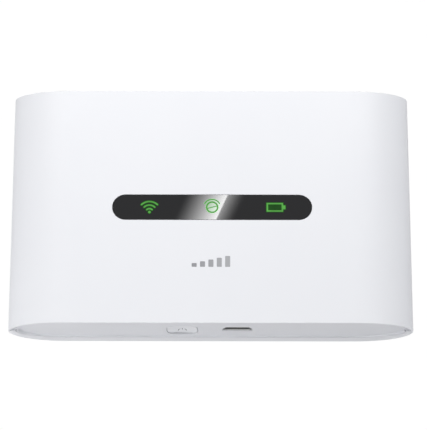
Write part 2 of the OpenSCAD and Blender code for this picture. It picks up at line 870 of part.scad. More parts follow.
// Winding strip: a plate with slots cut in from both sides by turns
module main_antenna() color("#c98a4b")
    difference() {
        block([-carrier_w / 2 + carrier_wall, carrier_y[0] + strip_set, carrier_top],
              [carrier_w / 2 - carrier_wall, carrier_y[1] - strip_set, carrier_top + sheet_t]);
        for (i = [0:slot_count - 1])
            translate([(i - (slot_count - 1) / 2) * slot_pitch - slot_w / 2,
                       carrier_y[0] + (i % 2 == 0 ? slot_end : -carrier_wall), 0])
                cube([slot_w, carrier_y[1] - carrier_y[0] + 2 * cut, far]);
    }

// Flexible antenna stuck under the front shell, slotted from one side
module sticker(side)
    difference() {
        translate([side * sticker_x, 0, body_t - shell_top - sticker_t])
            round_plate(sticker_size[0], sticker_size[1], sticker_t, sticker_r);
        for (y = sticker_slots)
            translate([side * sticker_x - slot_from + (y == 0 ? slot_shift[0] : 0),
                       y + slot_shift[1], 0])
                cube([far, slot_w, far]);
    }

module diversity_antenna() color("#c98a4b") sticker(-1);
module wifi_antenna() color("#c98a4b") mirror([1, 0, 0]) sticker(-1);

// Sprung pins that join the board to the two stickers
module antenna_pins() color("#d9b24a")
    for (x = [-1, 1], y = [-1, 1])
        translate([x * (sticker_x + pin_shift), y * pin_y, board_top]) {
            cylinder(r = pin_sleeve[0], h = pin_sleeve[1]);
            cylinder(r = pin_r, h = body_t - shell_top - sticker_t - board_top);
        }

// ---------------------------------------------------------------- nodes

front_shell();
window_lens();
lens_tape();
wireless_symbol();
network_symbol();
charge_symbol();
signal_mark();
diffuser_strip();
light_baffle();
status_leds();
mid_frame();
bay_label();
rear_cover();
case_screws();
main_board();
modem_shield();
radio_shield();
wifi_shield();
power_shield();
board_chips();
board_passives();
heat_spreader();
usb_shell();
usb_tongue();
usb_contacts();
power_button();
switch_plunger();
power_switch();
reset_button();
reset_switch();
sim_base();
sim_cover();
sim_contacts();
sim_card();
memory_base();
memory_cover();
memory_contacts();
memory_card();
battery_cell();
battery_cap();
battery_pads();
battery_label();
battery_terminal();
terminal_springs();
antenna_carrier();
main_antenna();
diversity_antenna();
wifi_antenna();
antenna_pins();
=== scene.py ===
"""Looks of a pocket mobile hotspot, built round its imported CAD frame.

Lengths in this file are millimetres unless a name ends in _m, and the model is in metres.
"""

import logging
import math
from dataclasses import dataclass, field
from enum import Enum
from typing import Any, Callable, Sequence

import bmesh
import bpy
from mathutils import Matrix, Vector


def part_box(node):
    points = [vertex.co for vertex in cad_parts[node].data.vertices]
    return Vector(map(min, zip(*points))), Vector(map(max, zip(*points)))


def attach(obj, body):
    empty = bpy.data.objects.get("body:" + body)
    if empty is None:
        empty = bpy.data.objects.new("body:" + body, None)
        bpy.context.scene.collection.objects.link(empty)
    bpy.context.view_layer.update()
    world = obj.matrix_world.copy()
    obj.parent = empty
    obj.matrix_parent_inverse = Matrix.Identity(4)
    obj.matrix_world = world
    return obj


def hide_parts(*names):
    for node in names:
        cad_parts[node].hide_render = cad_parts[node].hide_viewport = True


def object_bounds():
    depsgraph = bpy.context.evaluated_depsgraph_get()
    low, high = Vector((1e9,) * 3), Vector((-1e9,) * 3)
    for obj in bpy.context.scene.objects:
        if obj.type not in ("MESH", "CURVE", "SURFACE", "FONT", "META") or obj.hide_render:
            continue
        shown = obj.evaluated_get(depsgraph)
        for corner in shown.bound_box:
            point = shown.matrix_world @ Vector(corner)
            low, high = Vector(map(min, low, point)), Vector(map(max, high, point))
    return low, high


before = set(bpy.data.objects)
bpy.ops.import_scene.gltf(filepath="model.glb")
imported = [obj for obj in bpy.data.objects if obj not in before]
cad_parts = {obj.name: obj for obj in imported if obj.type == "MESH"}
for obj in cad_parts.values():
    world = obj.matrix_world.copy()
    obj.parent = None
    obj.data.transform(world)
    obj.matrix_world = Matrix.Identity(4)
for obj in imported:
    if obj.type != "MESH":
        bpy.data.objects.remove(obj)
cad_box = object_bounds()

MM = 0.001
HOUSING = "housing"
ON = 0.01  # how near a point has to lie to a face to be on it
PAST = 1.0  # how far a cut runs on beyond what it cuts
MERGE_M = 1e-7
SHARP_TURN = math.radians(25)
FLAT_TURN = math.radians(0.2)
SMOOTH_TURN = math.radians(40)
SCREW_PLACES = [(x, y) for x in (-36.0, 36.0) for y in (-26.5, 26.5)]

Point = tuple[float, float]
Rule = Callable[[Vector], float]
log = logging.getLogger("hotspot")


class Axis(Enum):
    """Direction that a prism runs along."""

    Y = "y"
    Z = "z"


# ------------------------------------------------------------------ measures from the frame


def low_corner(node: str) -> Vector:
    """Lowest corner of a CAD node, in millimetres."""
    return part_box(node)[0] / MM


def high_corner(node: str) -> Vector:
    """Highest corner of a CAD node, in millimetres."""
    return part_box(node)[1] / MM


def middle(node: str) -> Vector:
    """Centre of a CAD node's box, in millimetres."""
    return (low_corner(node) + high_corner(node)) / 2


# ------------------------------------------------------------------ outlines


def round_rect(width: float, height: float, radius: float, centre: Point = (0.0, 0.0),
               steps: int = 10) -> list[Point]:
    """Rectangle with round corners, counter-clockwise.

    Args:
        width: Size along the first direction.
        height: Size along the second direction.
        radius: Corner radius; half the height gives round ends.
        centre: Middle of the rectangle.
        steps: Edges along each corner.

    Returns:
        The points of the outline.
    """
    radius = min(radius, width / 2 - 1e-4, height / 2 - 1e-4)
    points = []
    for quarter, (sx, sy) in enumerate(((1, 1), (-1, 1), (-1, -1), (1, -1))):
        for step in range(steps + 1):
            turn = math.radians(90 * quarter + 90 * step / steps)
            points.append((centre[0] + sx * (width / 2 - radius) + radius * math.cos(turn),
                           centre[1] + sy * (height / 2 - radius) + radius * math.sin(turn)))
    return points


def circle(radius: float, centre: Point = (0.0, 0.0), steps: int = 48) -> list[Point]:
    """Circle as a counter-clockwise outline."""
    return [(centre[0] + radius * math.cos(math.tau * i / steps),
             centre[1] + radius * math.sin(math.tau * i / steps)) for i in range(steps)]


def rectangle(low: Point, high: Point) -> list[Point]:
    """Plain rectangle between two corners, counter-clockwise."""
    return [(low[0], low[1]), (high[0], low[1]), (high[0], high[1]), (low[0], high[1])]


def fillet(corners: Sequence[Point], radius: float, steps: int = 5) -> list[Point]:
    """Rounds every corner of a polygon.

    Args:
        corners: Polygon, counter-clockwise.
        radius: Radius of each rounded corner.
        steps: Edges along each corner.

    Returns:
        The points of the rounded outline.
    """
    points = []
    for i, corner in enumerate(corners):
        here = Vector(corner)
        before = (Vector(corners[i - 1]) - here).normalized()
        after = (Vector(corners[(i + 1) % len(corners)]) - here).normalized()
        reach = radius / math.tan(before.angle(after) / 2)
        start, end = here + before * reach, here + after * reach
        for step in range(steps + 1):
            t = step / steps
            curve = (1 - t) ** 2 * start + 2 * t * (1 - t) * here + t ** 2 * end
            points.append((curve.x, curve.y))
    return points


def band(radius: float, line: float, start: float, end: float, centre: Point,
         steps: int = 24) -> list[Point]:
    """Part of a ring with round ends.

    Args:
        radius: Radius of the line's middle.
        line: Width of the line.
        start: First angle in degrees.
        end: Last angle in degrees, more than start.
        centre: Middle of the ring.
        steps: Edges along the ring.

    Returns:
        The outline, counter-clockwise.
    """
    half = line / 2
    cap_steps = 6

    def at(r: float, degrees: float) -> Point:
        """Point at a radius and an angle."""
        return (centre[0] + r * math.cos(math.radians(degrees)),
                centre[1] + r * math.sin(math.radians(degrees)))

    def cap(degrees: float, turn: float) -> list[Point]:
        """Half circle round the line's end."""
        middle_of_end = at(radius, degrees)
        return [(middle_of_end[0] + half * math.cos(math.radians(turn + 180 * i / cap_steps)),
                 middle_of_end[1] + half * math.sin(math.radians(turn + 180 * i / cap_steps)))
                for i in range(1, cap_steps)]

    outer = [at(radius + half, start + (end - start) * i / steps) for i in range(steps + 1)]
    inner = [at(radius - half, end - (end - start) * i / steps) for i in range(steps + 1)]
    return outer + cap(end, end) + inner + cap(start, start + 180)


# ------------------------------------------------------------------ meshes


def prism(outline: Sequence[Point], axis: Axis, low: float, high: float) -> bpy.types.Mesh:
    """Closed mesh of an outline carried along an axis.

    Args:
        outline: Points in X and Y for Axis.Z, or in X and Z for Axis.Y.
        axis: Direction that the outline is carried along.
        low: First place on that axis.
        high: Last place on that axis.

    Returns:
        A mesh in metres.
    """
    mesh = bmesh.new()

    def ring(place: float) -> list[bmesh.types.BMVert]:
        """Vertices of the outline at one place."""
        if axis is Axis.Z:
            return [mesh.verts.new((x * MM, y * MM, place * MM)) for x, y in outline]
        return [mesh.verts.new((x * MM, place * MM, z * MM)) for x, z in outline]

    first, last = ring(low), ring(high)
    mesh.faces.new(first)
    mesh.faces.new(last)
    for i in range(len(first)):
        j = (i + 1) % len(first)
        mesh.faces.new((first[i], first[j], last[j], last[i]))
    return closed(mesh, "prism")


def loft(rings: Sequence[Sequence[Vector]], name: str) -> bpy.types.Mesh:
    """Closed mesh through rings of the same count, capped at both ends.

    Args:
        rings: Rings of points in millimetres.
        name: Name of the mesh.

    Returns:
        A mesh in metres.
    """
    mesh = bmesh.new()
    rows = [[mesh.verts.new(point * MM) for point in ring] for ring in rings]
    for row, following in zip(rows, rows[1:]):
        for i in range(len(row)):
            j = (i + 1) % len(row)
            mesh.faces.new((row[i], row[j], following[j], following[i]))
    mesh.faces.new(rows[0])
    mesh.faces.new(rows[-1])
    return closed(mesh, name)


def closed(mesh: bmesh.types.BMesh, name: str) -> bpy.types.Mesh:
    """Turns a bmesh into a mesh with its faces pointing outwards, and frees it."""
    bmesh.ops.recalc_face_normals(mesh, faces=mesh.faces)
    made = bpy.data.meshes.new(name)
    mesh.to_mesh(made)
    mesh.free()
    return made


def as_object(mesh: bpy.types.Mesh, name: str) -> bpy.types.Object:
    """Object of a mesh, linked to the scene."""
    thing = bpy.data.objects.new(name, mesh)
    bpy.context.scene.collection.objects.link(thing)
    return thing


def evaluated(thing: bpy.types.Object) -> bpy.types.Mesh:
    """Mesh of an object with its modifiers applied."""
    graph = bpy.context.evaluated_depsgraph_get()
    graph.update()
    return bpy.data.meshes.new_from_object(thing.evaluated_get(graph))


def smooth(mesh: bpy.types.Mesh) -> None:
    """Smooth shading, with steep edges kept sharp."""
    for face in mesh.polygons:
        face.use_smooth = True
    mesh.set_sharp_from_angle(angle=SMOOTH_TURN)


def even_normals(thing: bpy.types.Object) -> None:
    """Keeps flat faces flat in the light beside their rounded edges."""
    even = thing.modifiers.new("even", "WEIGHTED_NORMAL")
    even.keep_sharp, even.weight = True, 80


@dataclass
class Solid:
    """A closed mesh made from shapes joined and taken away, with chosen edges rounded."""

    name: str
    shape: bpy.types.Mesh
    steps: list[tuple[str, bpy.types.Mesh]] = field(default_factory=list)

    def join(self, shape: bpy.types.Mesh) -> "Solid":
        """Adds a shape."""
        self.steps.append(("UNION", shape))
        return self

    def cut(self, shape: bpy.types.Mesh) -> "Solid":
        """Takes a shape away."""
        self.steps.append(("DIFFERENCE", shape))
        return self

    def make(self, rounding: Rule | None = None, segments: int = 3) -> bpy.types.Object:
        """Builds the mesh.

        Args:
            rounding: Gives an edge's rounding in millimetres from its middle.
            segments: Faces across each rounded edge.

        Returns:
            An object whose mesh holds the result.
        """
        work = as_object(self.shape, self.name)
        tools = []
        for operation, shape in self.steps:
            tool = as_object(shape, "tool")
            step = work.modifiers.new(operation, "BOOLEAN")
            step.operation, step.object, step.solver = operation, tool, "EXACT"
            tools.append(tool)
        carved = evaluated(work)
        work.modifiers.clear()
        for tool in tools:
            bpy.data.objects.remove(tool)
        work.data = carved
        if rounding is not None:
            widest = mark_edges(carved, rounding)
            bevel = work.modifiers.new("round", "BEVEL")
            bevel.limit_method, bevel.offset_type = "WEIGHT", "OFFSET"
            bevel.width, bevel.segments = widest * MM, segments
            bevel.use_clamp_overlap = True
            work.data = evaluated(work)
            work.modifiers.clear()
        work.data.name = self.name
        smooth(work.data)
        even_normals(work)
        return work


def mark_edges(mesh: bpy.types.Mesh, rounding: Rule) -> float:
    """Writes each sharp edge's share of the widest rounding onto the mesh.

    Args:
        mesh: Mesh to mark.
        rounding: Gives an edge's rounding from its middle.

    Returns:
        The widest rounding, in millimetres.
    """
    work = bmesh.new()
    work.from_mesh(mesh)
    bmesh.ops.remove_doubles(work, verts=work.verts, dist=MERGE_M)
    bmesh.ops.dissolve_degenerate(work, edges=work.edges, dist=MERGE_M)
    bmesh.ops.dissolve_limit(work, angle_limit=FLAT_TURN, verts=work.verts, edges=work.edges)
    layer = work.edges.layers.float.new("bevel_weight_edge")
    widths = {}
    for edge in work.edges:
        if len(edge.link_faces) == 2 and edge.calc_face_angle(0.0) > SHARP_TURN:
            ends = [vertex.co / MM for vertex in edge.verts]
            width = rounding((ends[0] + ends[1]) / 2)
            if width > 0:
                widths[edge] = width
    widest = max(widths.values(), default=0.01)
    for edge, width in widths.items():
        edge[layer] = width / widest
    work.to_mesh(mesh)
    work.free()
    return widest


def evaluated_solid(solid: Solid) -> bpy.types.Mesh:
    """Mesh of a solid, without leaving its object in the scene."""
    thing = solid.make()
    thing.modifiers.clear()
    mesh = thing.data
    bpy.data.objects.remove(thing)
    return mesh


def dress(piece: bpy.types.Object, material: bpy.types.Material, body: str = HOUSING,
          replaced: Sequence[str] = ()) -> None:
    """Gives a piece its material and slot, and sets it on a body.

    Args:
        piece: Piece to dress.
        material: Its finish.
        body: Name of the body it rides on.
        replaced: CAD nodes it stands for.
    """
    piece.data.materials.clear()
    piece.data.materials.append(material)
    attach(piece, body)
    if replaced:
        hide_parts(*replaced)
    log.info("%s: %d faces on %s", piece.name, len(piece.data.polygons), body)


# ------------------------------------------------------------------ materials


def linear(hex_colour: str) -> tuple[float, float, float, float]:
    """Turns an sRGB hex colour such as #a0b1c2 into linear light."""
    parts = [int(hex_colour[i:i + 2], 16) / 255 for i in (1, 3, 5)]
    red, green, blue = [c / 12.92 if c <= 0.04045 else ((c + 0.055) / 1.055) ** 2.4 for c in parts]
    return red, green, blue, 1.0


BLACK = linear("#000000")
WHITE = linear("#ffffff")


def add_node(tree: bpy.types.NodeTree, kind: str, settings: dict[str, Any] | None = None,
             links: dict[str, bpy.types.NodeSocket] | None = None) -> bpy.types.Node:
    """Adds a node with its settings and links.

    Args:
        tree: Node tree that it joins.
        kind: Blender's name for the node type.
        settings: Properties or unlinked inputs, by name; a number names an input by place.
        links: Sockets to link from, by input name or place.

    Returns:
        The new node.
    """
    node = tree.nodes.new(kind)
    for key, value in (settings or {}).items():
        if isinstance(key, str) and hasattr(node, key):
            setattr(node, key, value)
        else:
            node.inputs[key].default_value = value
    for key, source in (links or {}).items():
        tree.links.new(source, node.inputs[key])
    return node


def finish_material(tree: bpy.types.NodeTree, surface: bpy.types.NodeSocket) -> None:
    """Links a surface to the material's output."""
    add_node(tree, "ShaderNodeOutputMaterial", links={"Surface": surface})


def start_material(name: str) -> tuple[bpy.types.Material, bpy.types.NodeTree,
                                      bpy.types.NodeSocket]:
    """A node material, its tree, and the coordinates fixed to its piece."""
    material = bpy.data.materials.new(name)
    material.use_nodes = True
    tree = material.node_tree
    tree.nodes.clear()
    return material, tree, add_node(tree, "ShaderNodeTexCoord").outputs["Object"]


def noise(tree: bpy.types.NodeTree, place: bpy.types.NodeSocket, size: float,
          **settings: float) -> bpy.types.NodeSocket:
    """Soft random pattern whose patches measure a number of millimetres."""
    return add_node(tree, "ShaderNodeTexNoise", {"Scale": 1 / (size * MM), **settings},
                    {"Vector": place}).outputs["Fac"]


def spread(tree: bpy.types.NodeTree, value: bpy.types.NodeSocket, low: float, high: float,
           source: Point = (0.0, 1.0)) -> bpy.types.NodeSocket:
    """Carries a value from one range to another, and keeps it inside that."""
    return add_node(tree, "ShaderNodeMapRange",
                    {"From Min": source[0], "From Max": source[1], "To Min": low,
                     "To Max": high}, {"Value": value}).outputs["Result"]


def blend(tree: bpy.types.NodeTree, first: str, second: str,
          share: bpy.types.NodeSocket) -> bpy.types.NodeSocket:
    """Colour between two hex colours."""
    return add_node(tree, "ShaderNodeMix",
                    {"data_type": "RGBA", 6: linear(first), 7: linear(second)},
                    {0: share}).outputs[2]


def bumps(tree: bpy.types.NodeTree, pattern: bpy.types.NodeSocket, height: float,
           strength: float) -> bpy.types.NodeSocket:
    """Surface direction where a pattern rises by a height in millimetres."""
    return add_node(tree, "ShaderNodeBump", {"Strength": strength, "Distance": height * MM},
                    {"Height": pattern}).outputs["Normal"]


def math_node(tree: bpy.types.NodeTree, operation: str, *values: Any) -> bpy.types.NodeSocket:
    """Result of a sum on numbers and sockets, in their order.

    Args:
        tree: Node tree that it joins.
        operation: Blender's name for the operation.
        *values: Each a number, or a socket to link from.

    Returns:
        The socket of the result.
    """
    settings = {i: value for i, value in enumerate(values) if isinstance(value, (int, float))}
    links = {i: value for i, value in enumerate(values) if i not in settings}
    return add_node(tree, "ShaderNodeMath", {"operation": operation, **settings},
                    links).outputs["Value"]


def coat_with(tree: bpy.types.NodeTree, settings: dict[str, Any],
              links: dict[str, bpy.types.NodeSocket]) -> None:
    """Adds the surface shader and makes it the material's output."""
    shader = add_node(tree, "ShaderNodeBsdfPrincipled", settings, links)
    finish_material(tree, shader.outputs["BSDF"])


@dataclass(frozen=True)
class MouldedPlastic:
    """Plastic moulded in a steel tool.

    The tool's fine texture breaks up the gloss, and slow flow in the mould leaves faint
    clouds of shade that the eye reads as plastic and not as paint.
    """

    name: str
    colour: str
    shade: str
    roughness: float = 0.34
    uneven: float = 0.08
    ior: float = 1.5
    grain: float = 0.3
    grain_height: float = 0.0008
    cloud: float = 22.0

    def make(self) -> bpy.types.Material:
        """Builds the material."""
        material, tree, place = start_material(self.name)
        clouds = noise(tree, place, self.cloud, Detail=3.0, Roughness=0.5)
        grain = noise(tree, place, self.grain, Detail=2.0, Roughness=0.6)
        gloss = spread(tree, grain, self.roughness * (1 - self.uneven),
                       self.roughness * (1 + self.uneven), (0.3, 0.7))
        coat_with(tree, {"IOR": self.ior},
                  {"Base Color": blend(tree, self.colour, self.shade, clouds),
                   "Roughness": gloss, "Normal": bumps(tree, grain, self.grain_height, 1.0)})
        return material


@dataclass(frozen=True)
class PolishedAcrylic:
    """Clear acrylic printed black behind, polished in the mould, its base lifted to dark grey as
    painted reflection.

    It looks deep and dark, with mirror-clear reflections that barely spread.
    """

    name: str
    # Dark grey, not black: the print's own black, lifted to stand in for part of the room's
    # reflection: painted reflection.
    colour: str = "#2a2a2b"
    roughness: float = 0.015
    ior: float = 1.49
    ripple: float = 6.0

    def make(self) -> bpy.types.Material:
        """Builds the material."""
        material, tree, place = start_material(self.name)
        ripples = noise(tree, place, self.ripple, Detail=2.0)
        coat_with(tree, {"Base Color": linear(self.colour), "IOR": self.ior},
                  {"Roughness": spread(tree, ripples, self.roughness * 0.6,
                                       self.roughness * 1.5)})
        return material


@dataclass(frozen=True)
class LitInk:
    """Translucent ink under the acrylic's face, lit from behind. The same finish paints a dim ring
    of glow round each lit symbol: painted glow.

    The light is a little uneven over each lamp, which the eye reads as a lamp behind it.
    """

    name: str
    colour: str
    glow: str
    strength: float
    gloss: float = 0.1
    roughness: float = 0.3
    ior: float = 1.49
    pitch: float = 2.6
    uneven: float = 0.15

    def make(self) -> bpy.types.Material:
        """Builds the material."""
        material, tree, place = start_material(self.name)
        patches = noise(tree, place, self.pitch, Detail=1.0)
        level = spread(tree, patches, self.strength * (1 - self.uneven),
                       self.strength * (1 + self.uneven), (0.3, 0.7))
        coat_with(tree, {"Base Color": linear(self.colour), "Roughness": self.roughness,
                         "IOR": self.ior, "Specular IOR Level": self.gloss,
                         "Emission Color": linear(self.glow)}, {"Emission Strength": level})
        return material


@dataclass(frozen=True)
class PlatedMetal:
    """Sheet metal with a thin plated coat, drawn or stamped.

    Fine lines run the way that it was rolled, so its highlights stretch across them.
    """

    name: str
    colour: str
    roughness: float
    line: float = 0.12
    line_height: float = 0.001
    across: tuple[float, float, float] = (1.0, 0.06, 1.0)

    def make(self) -> bpy.types.Material:
        """Builds the material."""
        material, tree, place = start_material(self.name)
        stretched = add_node(tree, "ShaderNodeMapping", {"Scale": self.across},
                             {"Vector": place}).outputs["Vector"]
        lines = noise(tree, stretched, self.line, Detail=3.0)
        coat_with(tree, {"Base Color": linear(self.colour), "Metallic": 1.0},
                  {"Roughness": spread(tree, lines, self.roughness * 0.7, self.roughness * 1.4),
                   "Normal": bumps(tree, lines, self.line_height, 0.6)})
        return material


@dataclass(frozen=True)
class PrintedInk:
    """Ink pad-printed on plastic: matt, thin and slightly uneven."""

    name: str
    colour: str
    thin: str
    across: float = 10.0
    speckle: float = 0.25
    speckle_share: float = 0.3
    roughness: float = 0.55

    def make(self) -> bpy.types.Material:
        """Builds the material."""
        material, tree, place = start_material(self.name)
        parts = add_node(tree, "ShaderNodeSeparateXYZ", links={"Vector": place})
        half_m = self.across / 2 * MM
        thinner = spread(tree, parts.outputs["X"], 0.0, 1.0, (-half_m, half_m))
        share = math_node(tree, "MULTIPLY_ADD", noise(tree, place, self.speckle),
                          self.speckle_share, thinner)
        coat_with(tree, {"Roughness": self.roughness, "IOR": 1.5},
                  {"Base Color": blend(tree, self.colour, self.thin, share)})
        return material


@dataclass(frozen=True)
class SolderMask:
    """Green solder mask over copper tracks.

    The tracks lift the mask and show through it as paler lines, as on a real board.
    """

    name: str
    colour: str = "#0f4a2c"
    over_copper: str = "#1c6b3f"
    pitch: float = 1.1
    track: float = 0.14
    track_length: float = 5.3
    track_height: float = 0.035
    roughness: float = 0.28
    ior: float = 1.52

    def make(self) -> bpy.types.Material:
        """Builds the material."""
        material, tree, place = start_material(self.name)
        tracks = add_node(tree, "ShaderNodeTexBrick",
                          {"offset": 0.37, "squash": 1.0, "Scale": 1.0, "Color1": BLACK,
                           "Color2": BLACK, "Mortar": WHITE, "Mortar Size": self.track * MM,
                           "Brick Width": self.track_length * self.pitch * MM,
                           "Row Height": self.pitch * MM}, {"Vector": place}).outputs["Color"]
        coat_with(tree, {"Roughness": self.roughness, "IOR": self.ior},
                  {"Base Color": blend(tree, self.colour, self.over_copper, tracks),
                   "Normal": bumps(tree, tracks, self.track_height, 0.7)})
        return material


@dataclass(frozen=True)
class Speckled:
    """Filled or pressed material with specks of another shade.

    Moulding compound, ceramic, graphite, foam and fibre board differ in speck, gloss and relief.
    """

    name: str
    colour: str
    speck: str
    size: float
    roughness: float
    relief: float = 0.004
    metallic: float = 0.0
    sharpness: float = 0.12

    def make(self) -> bpy.types.Material:
        """Builds the material."""
        material, tree, place = start_material(self.name)
        specks = noise(tree, place, self.size, Detail=4.0, Roughness=0.65)
        share = spread(tree, specks, 0.0, 1.0, (0.5 - self.sharpness, 0.5 + self.sharpness))
        coat_with(tree, {"Roughness": self.roughness, "Metallic": self.metallic},
                  {"Base Color": blend(tree, self.colour, self.speck, share),
                   "Normal": bumps(tree, specks, self.relief, 0.8)})
        return material


@dataclass(frozen=True)
class PrintedLabel:
    """Paper label with rows of blank grey bars where print would be."""

    name: str
    paper: str
    ink: str
    row: float = 2.4
    word: float = 7.0
    thick: float = 1.5
    roughness: float = 0.5
    margin: float = 2.5
    fibre: float = 0.2
    fibre_height: float = 0.01
    span: Point = (30.0, 20.0)
    centre: Point = (0.0, 0.0)

    def make(self) -> bpy.types.Material:
        """Builds the material."""
        material, tree, place = start_material(self.name)
        rows = add_node(tree, "ShaderNodeTexBrick",
                        {"offset": 0.43, "offset_frequency": 2, "squash": 0.6,
                         "squash_frequency": 3, "Scale": 1.0, "Color1": WHITE, "Color2": WHITE,
                         "Mortar": BLACK, "Mortar Size": self.thick / 2 * MM,
                         "Mortar Smooth": 0.05, "Brick Width": self.word * MM,
                         "Row Height": self.row * MM}, {"Vector": place}).outputs["Color"]
        parts = add_node(tree, "ShaderNodeSeparateXYZ", links={"Vector": place})
        printed = rows
        for axis, middle_of_print, size in zip("XY", self.centre, self.span):
            off = math_node(tree, "SUBTRACT", parts.outputs[axis], middle_of_print * MM)
            within = math_node(tree, "LESS_THAN", math_node(tree, "ABSOLUTE", off),
                               (size / 2 - self.margin) * MM)
            printed = math_node(tree, "MULTIPLY", within, printed)
        fibres = noise(tree, place, self.fibre, Detail=3.0)
        coat_with(tree, {"Roughness": self.roughness},
                  {"Base Color": blend(tree, self.paper, self.ink, printed),
                   "Normal": bumps(tree, fibres, self.fibre_height, 0.5)})
        return material


@dataclass(frozen=True)
class MilkyFilm:
    """Milky film or resin that spreads the light passing through it."""

    name: str
    colour: str
    roughness: float = 0.5
    uneven: float = 0.2
    ior: float = 1.49
    through: float = 0.35
    scatter: float = 0.6

    def make(self) -> bpy.types.Material:
        """Builds the material."""
        material, tree, place = start_material(self.name)
        cloud = noise(tree, place, self.scatter, Detail=2.0)
        gloss = spread(tree, cloud, self.roughness * (1 - self.uneven),
                       self.roughness * (1 + self.uneven))
        coat_with(tree, {"Base Color": linear(self.colour), "IOR": self.ior,
                         "Transmission Weight": self.through}, {"Roughness": gloss})
        return material


# ------------------------------------------------------------------ the body


@dataclass
class Body:
    """Sizes that the shells and the frame share."""

    width: float = field(init=False)
    depth: float = field(init=False)
    thickness: float = field(init=False)
    seam: float = field(init=False)
    side_reach: float = 15.0
    arc_steps: int = 40
    across_seam: float = 0.02
    tolerance: float = 0.06

    def __post_init__(self) -> None:
        """Reads the overall sizes from the frame."""
        size = (cad_box[1] - cad_box[0]) / MM
        self.width, self.depth, self.thickness = size
        self.seam = low_corner("front_shell").z

    @property
    def end(self) -> float:
        """Distance from the middle to each end."""
        return self.depth / 2

    def half_outline(self, inset: float, level: float, past: float = 0.0) -> list[Point]:
        """Upper or lower half of the end outline, in X and Z.

        Args:
            inset: How far inside the body's side it runs.
            level: Height of its flat part; above the seam gives the upper half.
            past: How far it is carried straight on beyond the seam.

        Returns:
            The closed outline.
        """
        half, reach, rise = self.width / 2 - inset, self.side_reach - inset, level - self.seam
        beyond = self.seam - math.copysign(past, rise)
        right, left = [], []
        for step in range(self.arc_steps + 1):
            turn = math.radians(90 * step / self.arc_steps)
            across, up = reach * math.cos(turn), self.seam + rise * math.sin(turn)
            right.append((half - reach + across, up))
            left.append((-(half - reach + across), up))
        points = right + left[::-1]
        if past > 0:
            points = [(half, beyond)] + points + [(-half, beyond)]
        return points

    def half_prism(self, inset: float, level: float, low: float, high: float,
                   past: float = 0.0) -> bpy.types.Mesh:
        """Prism of a half outline between two places along Y."""
        return prism(self.half_outline(inset, level, past), Axis.Y, low, high)

    def on_outline(self, point: Vector, inset: float, level: float) -> bool:
        """Whether a point's X and Z lie on a half outline."""
        half, reach, rise = self.width / 2 - inset, self.side_reach - inset, level - self.seam
        beyond_flat = max(0.0, abs(point.x) - (half - reach))
        height = (point.z - self.seam) / rise
        if height < -self.across_seam:
            return False
        return abs(math.hypot(beyond_flat / reach, height) - 1) < self.tolerance / reach


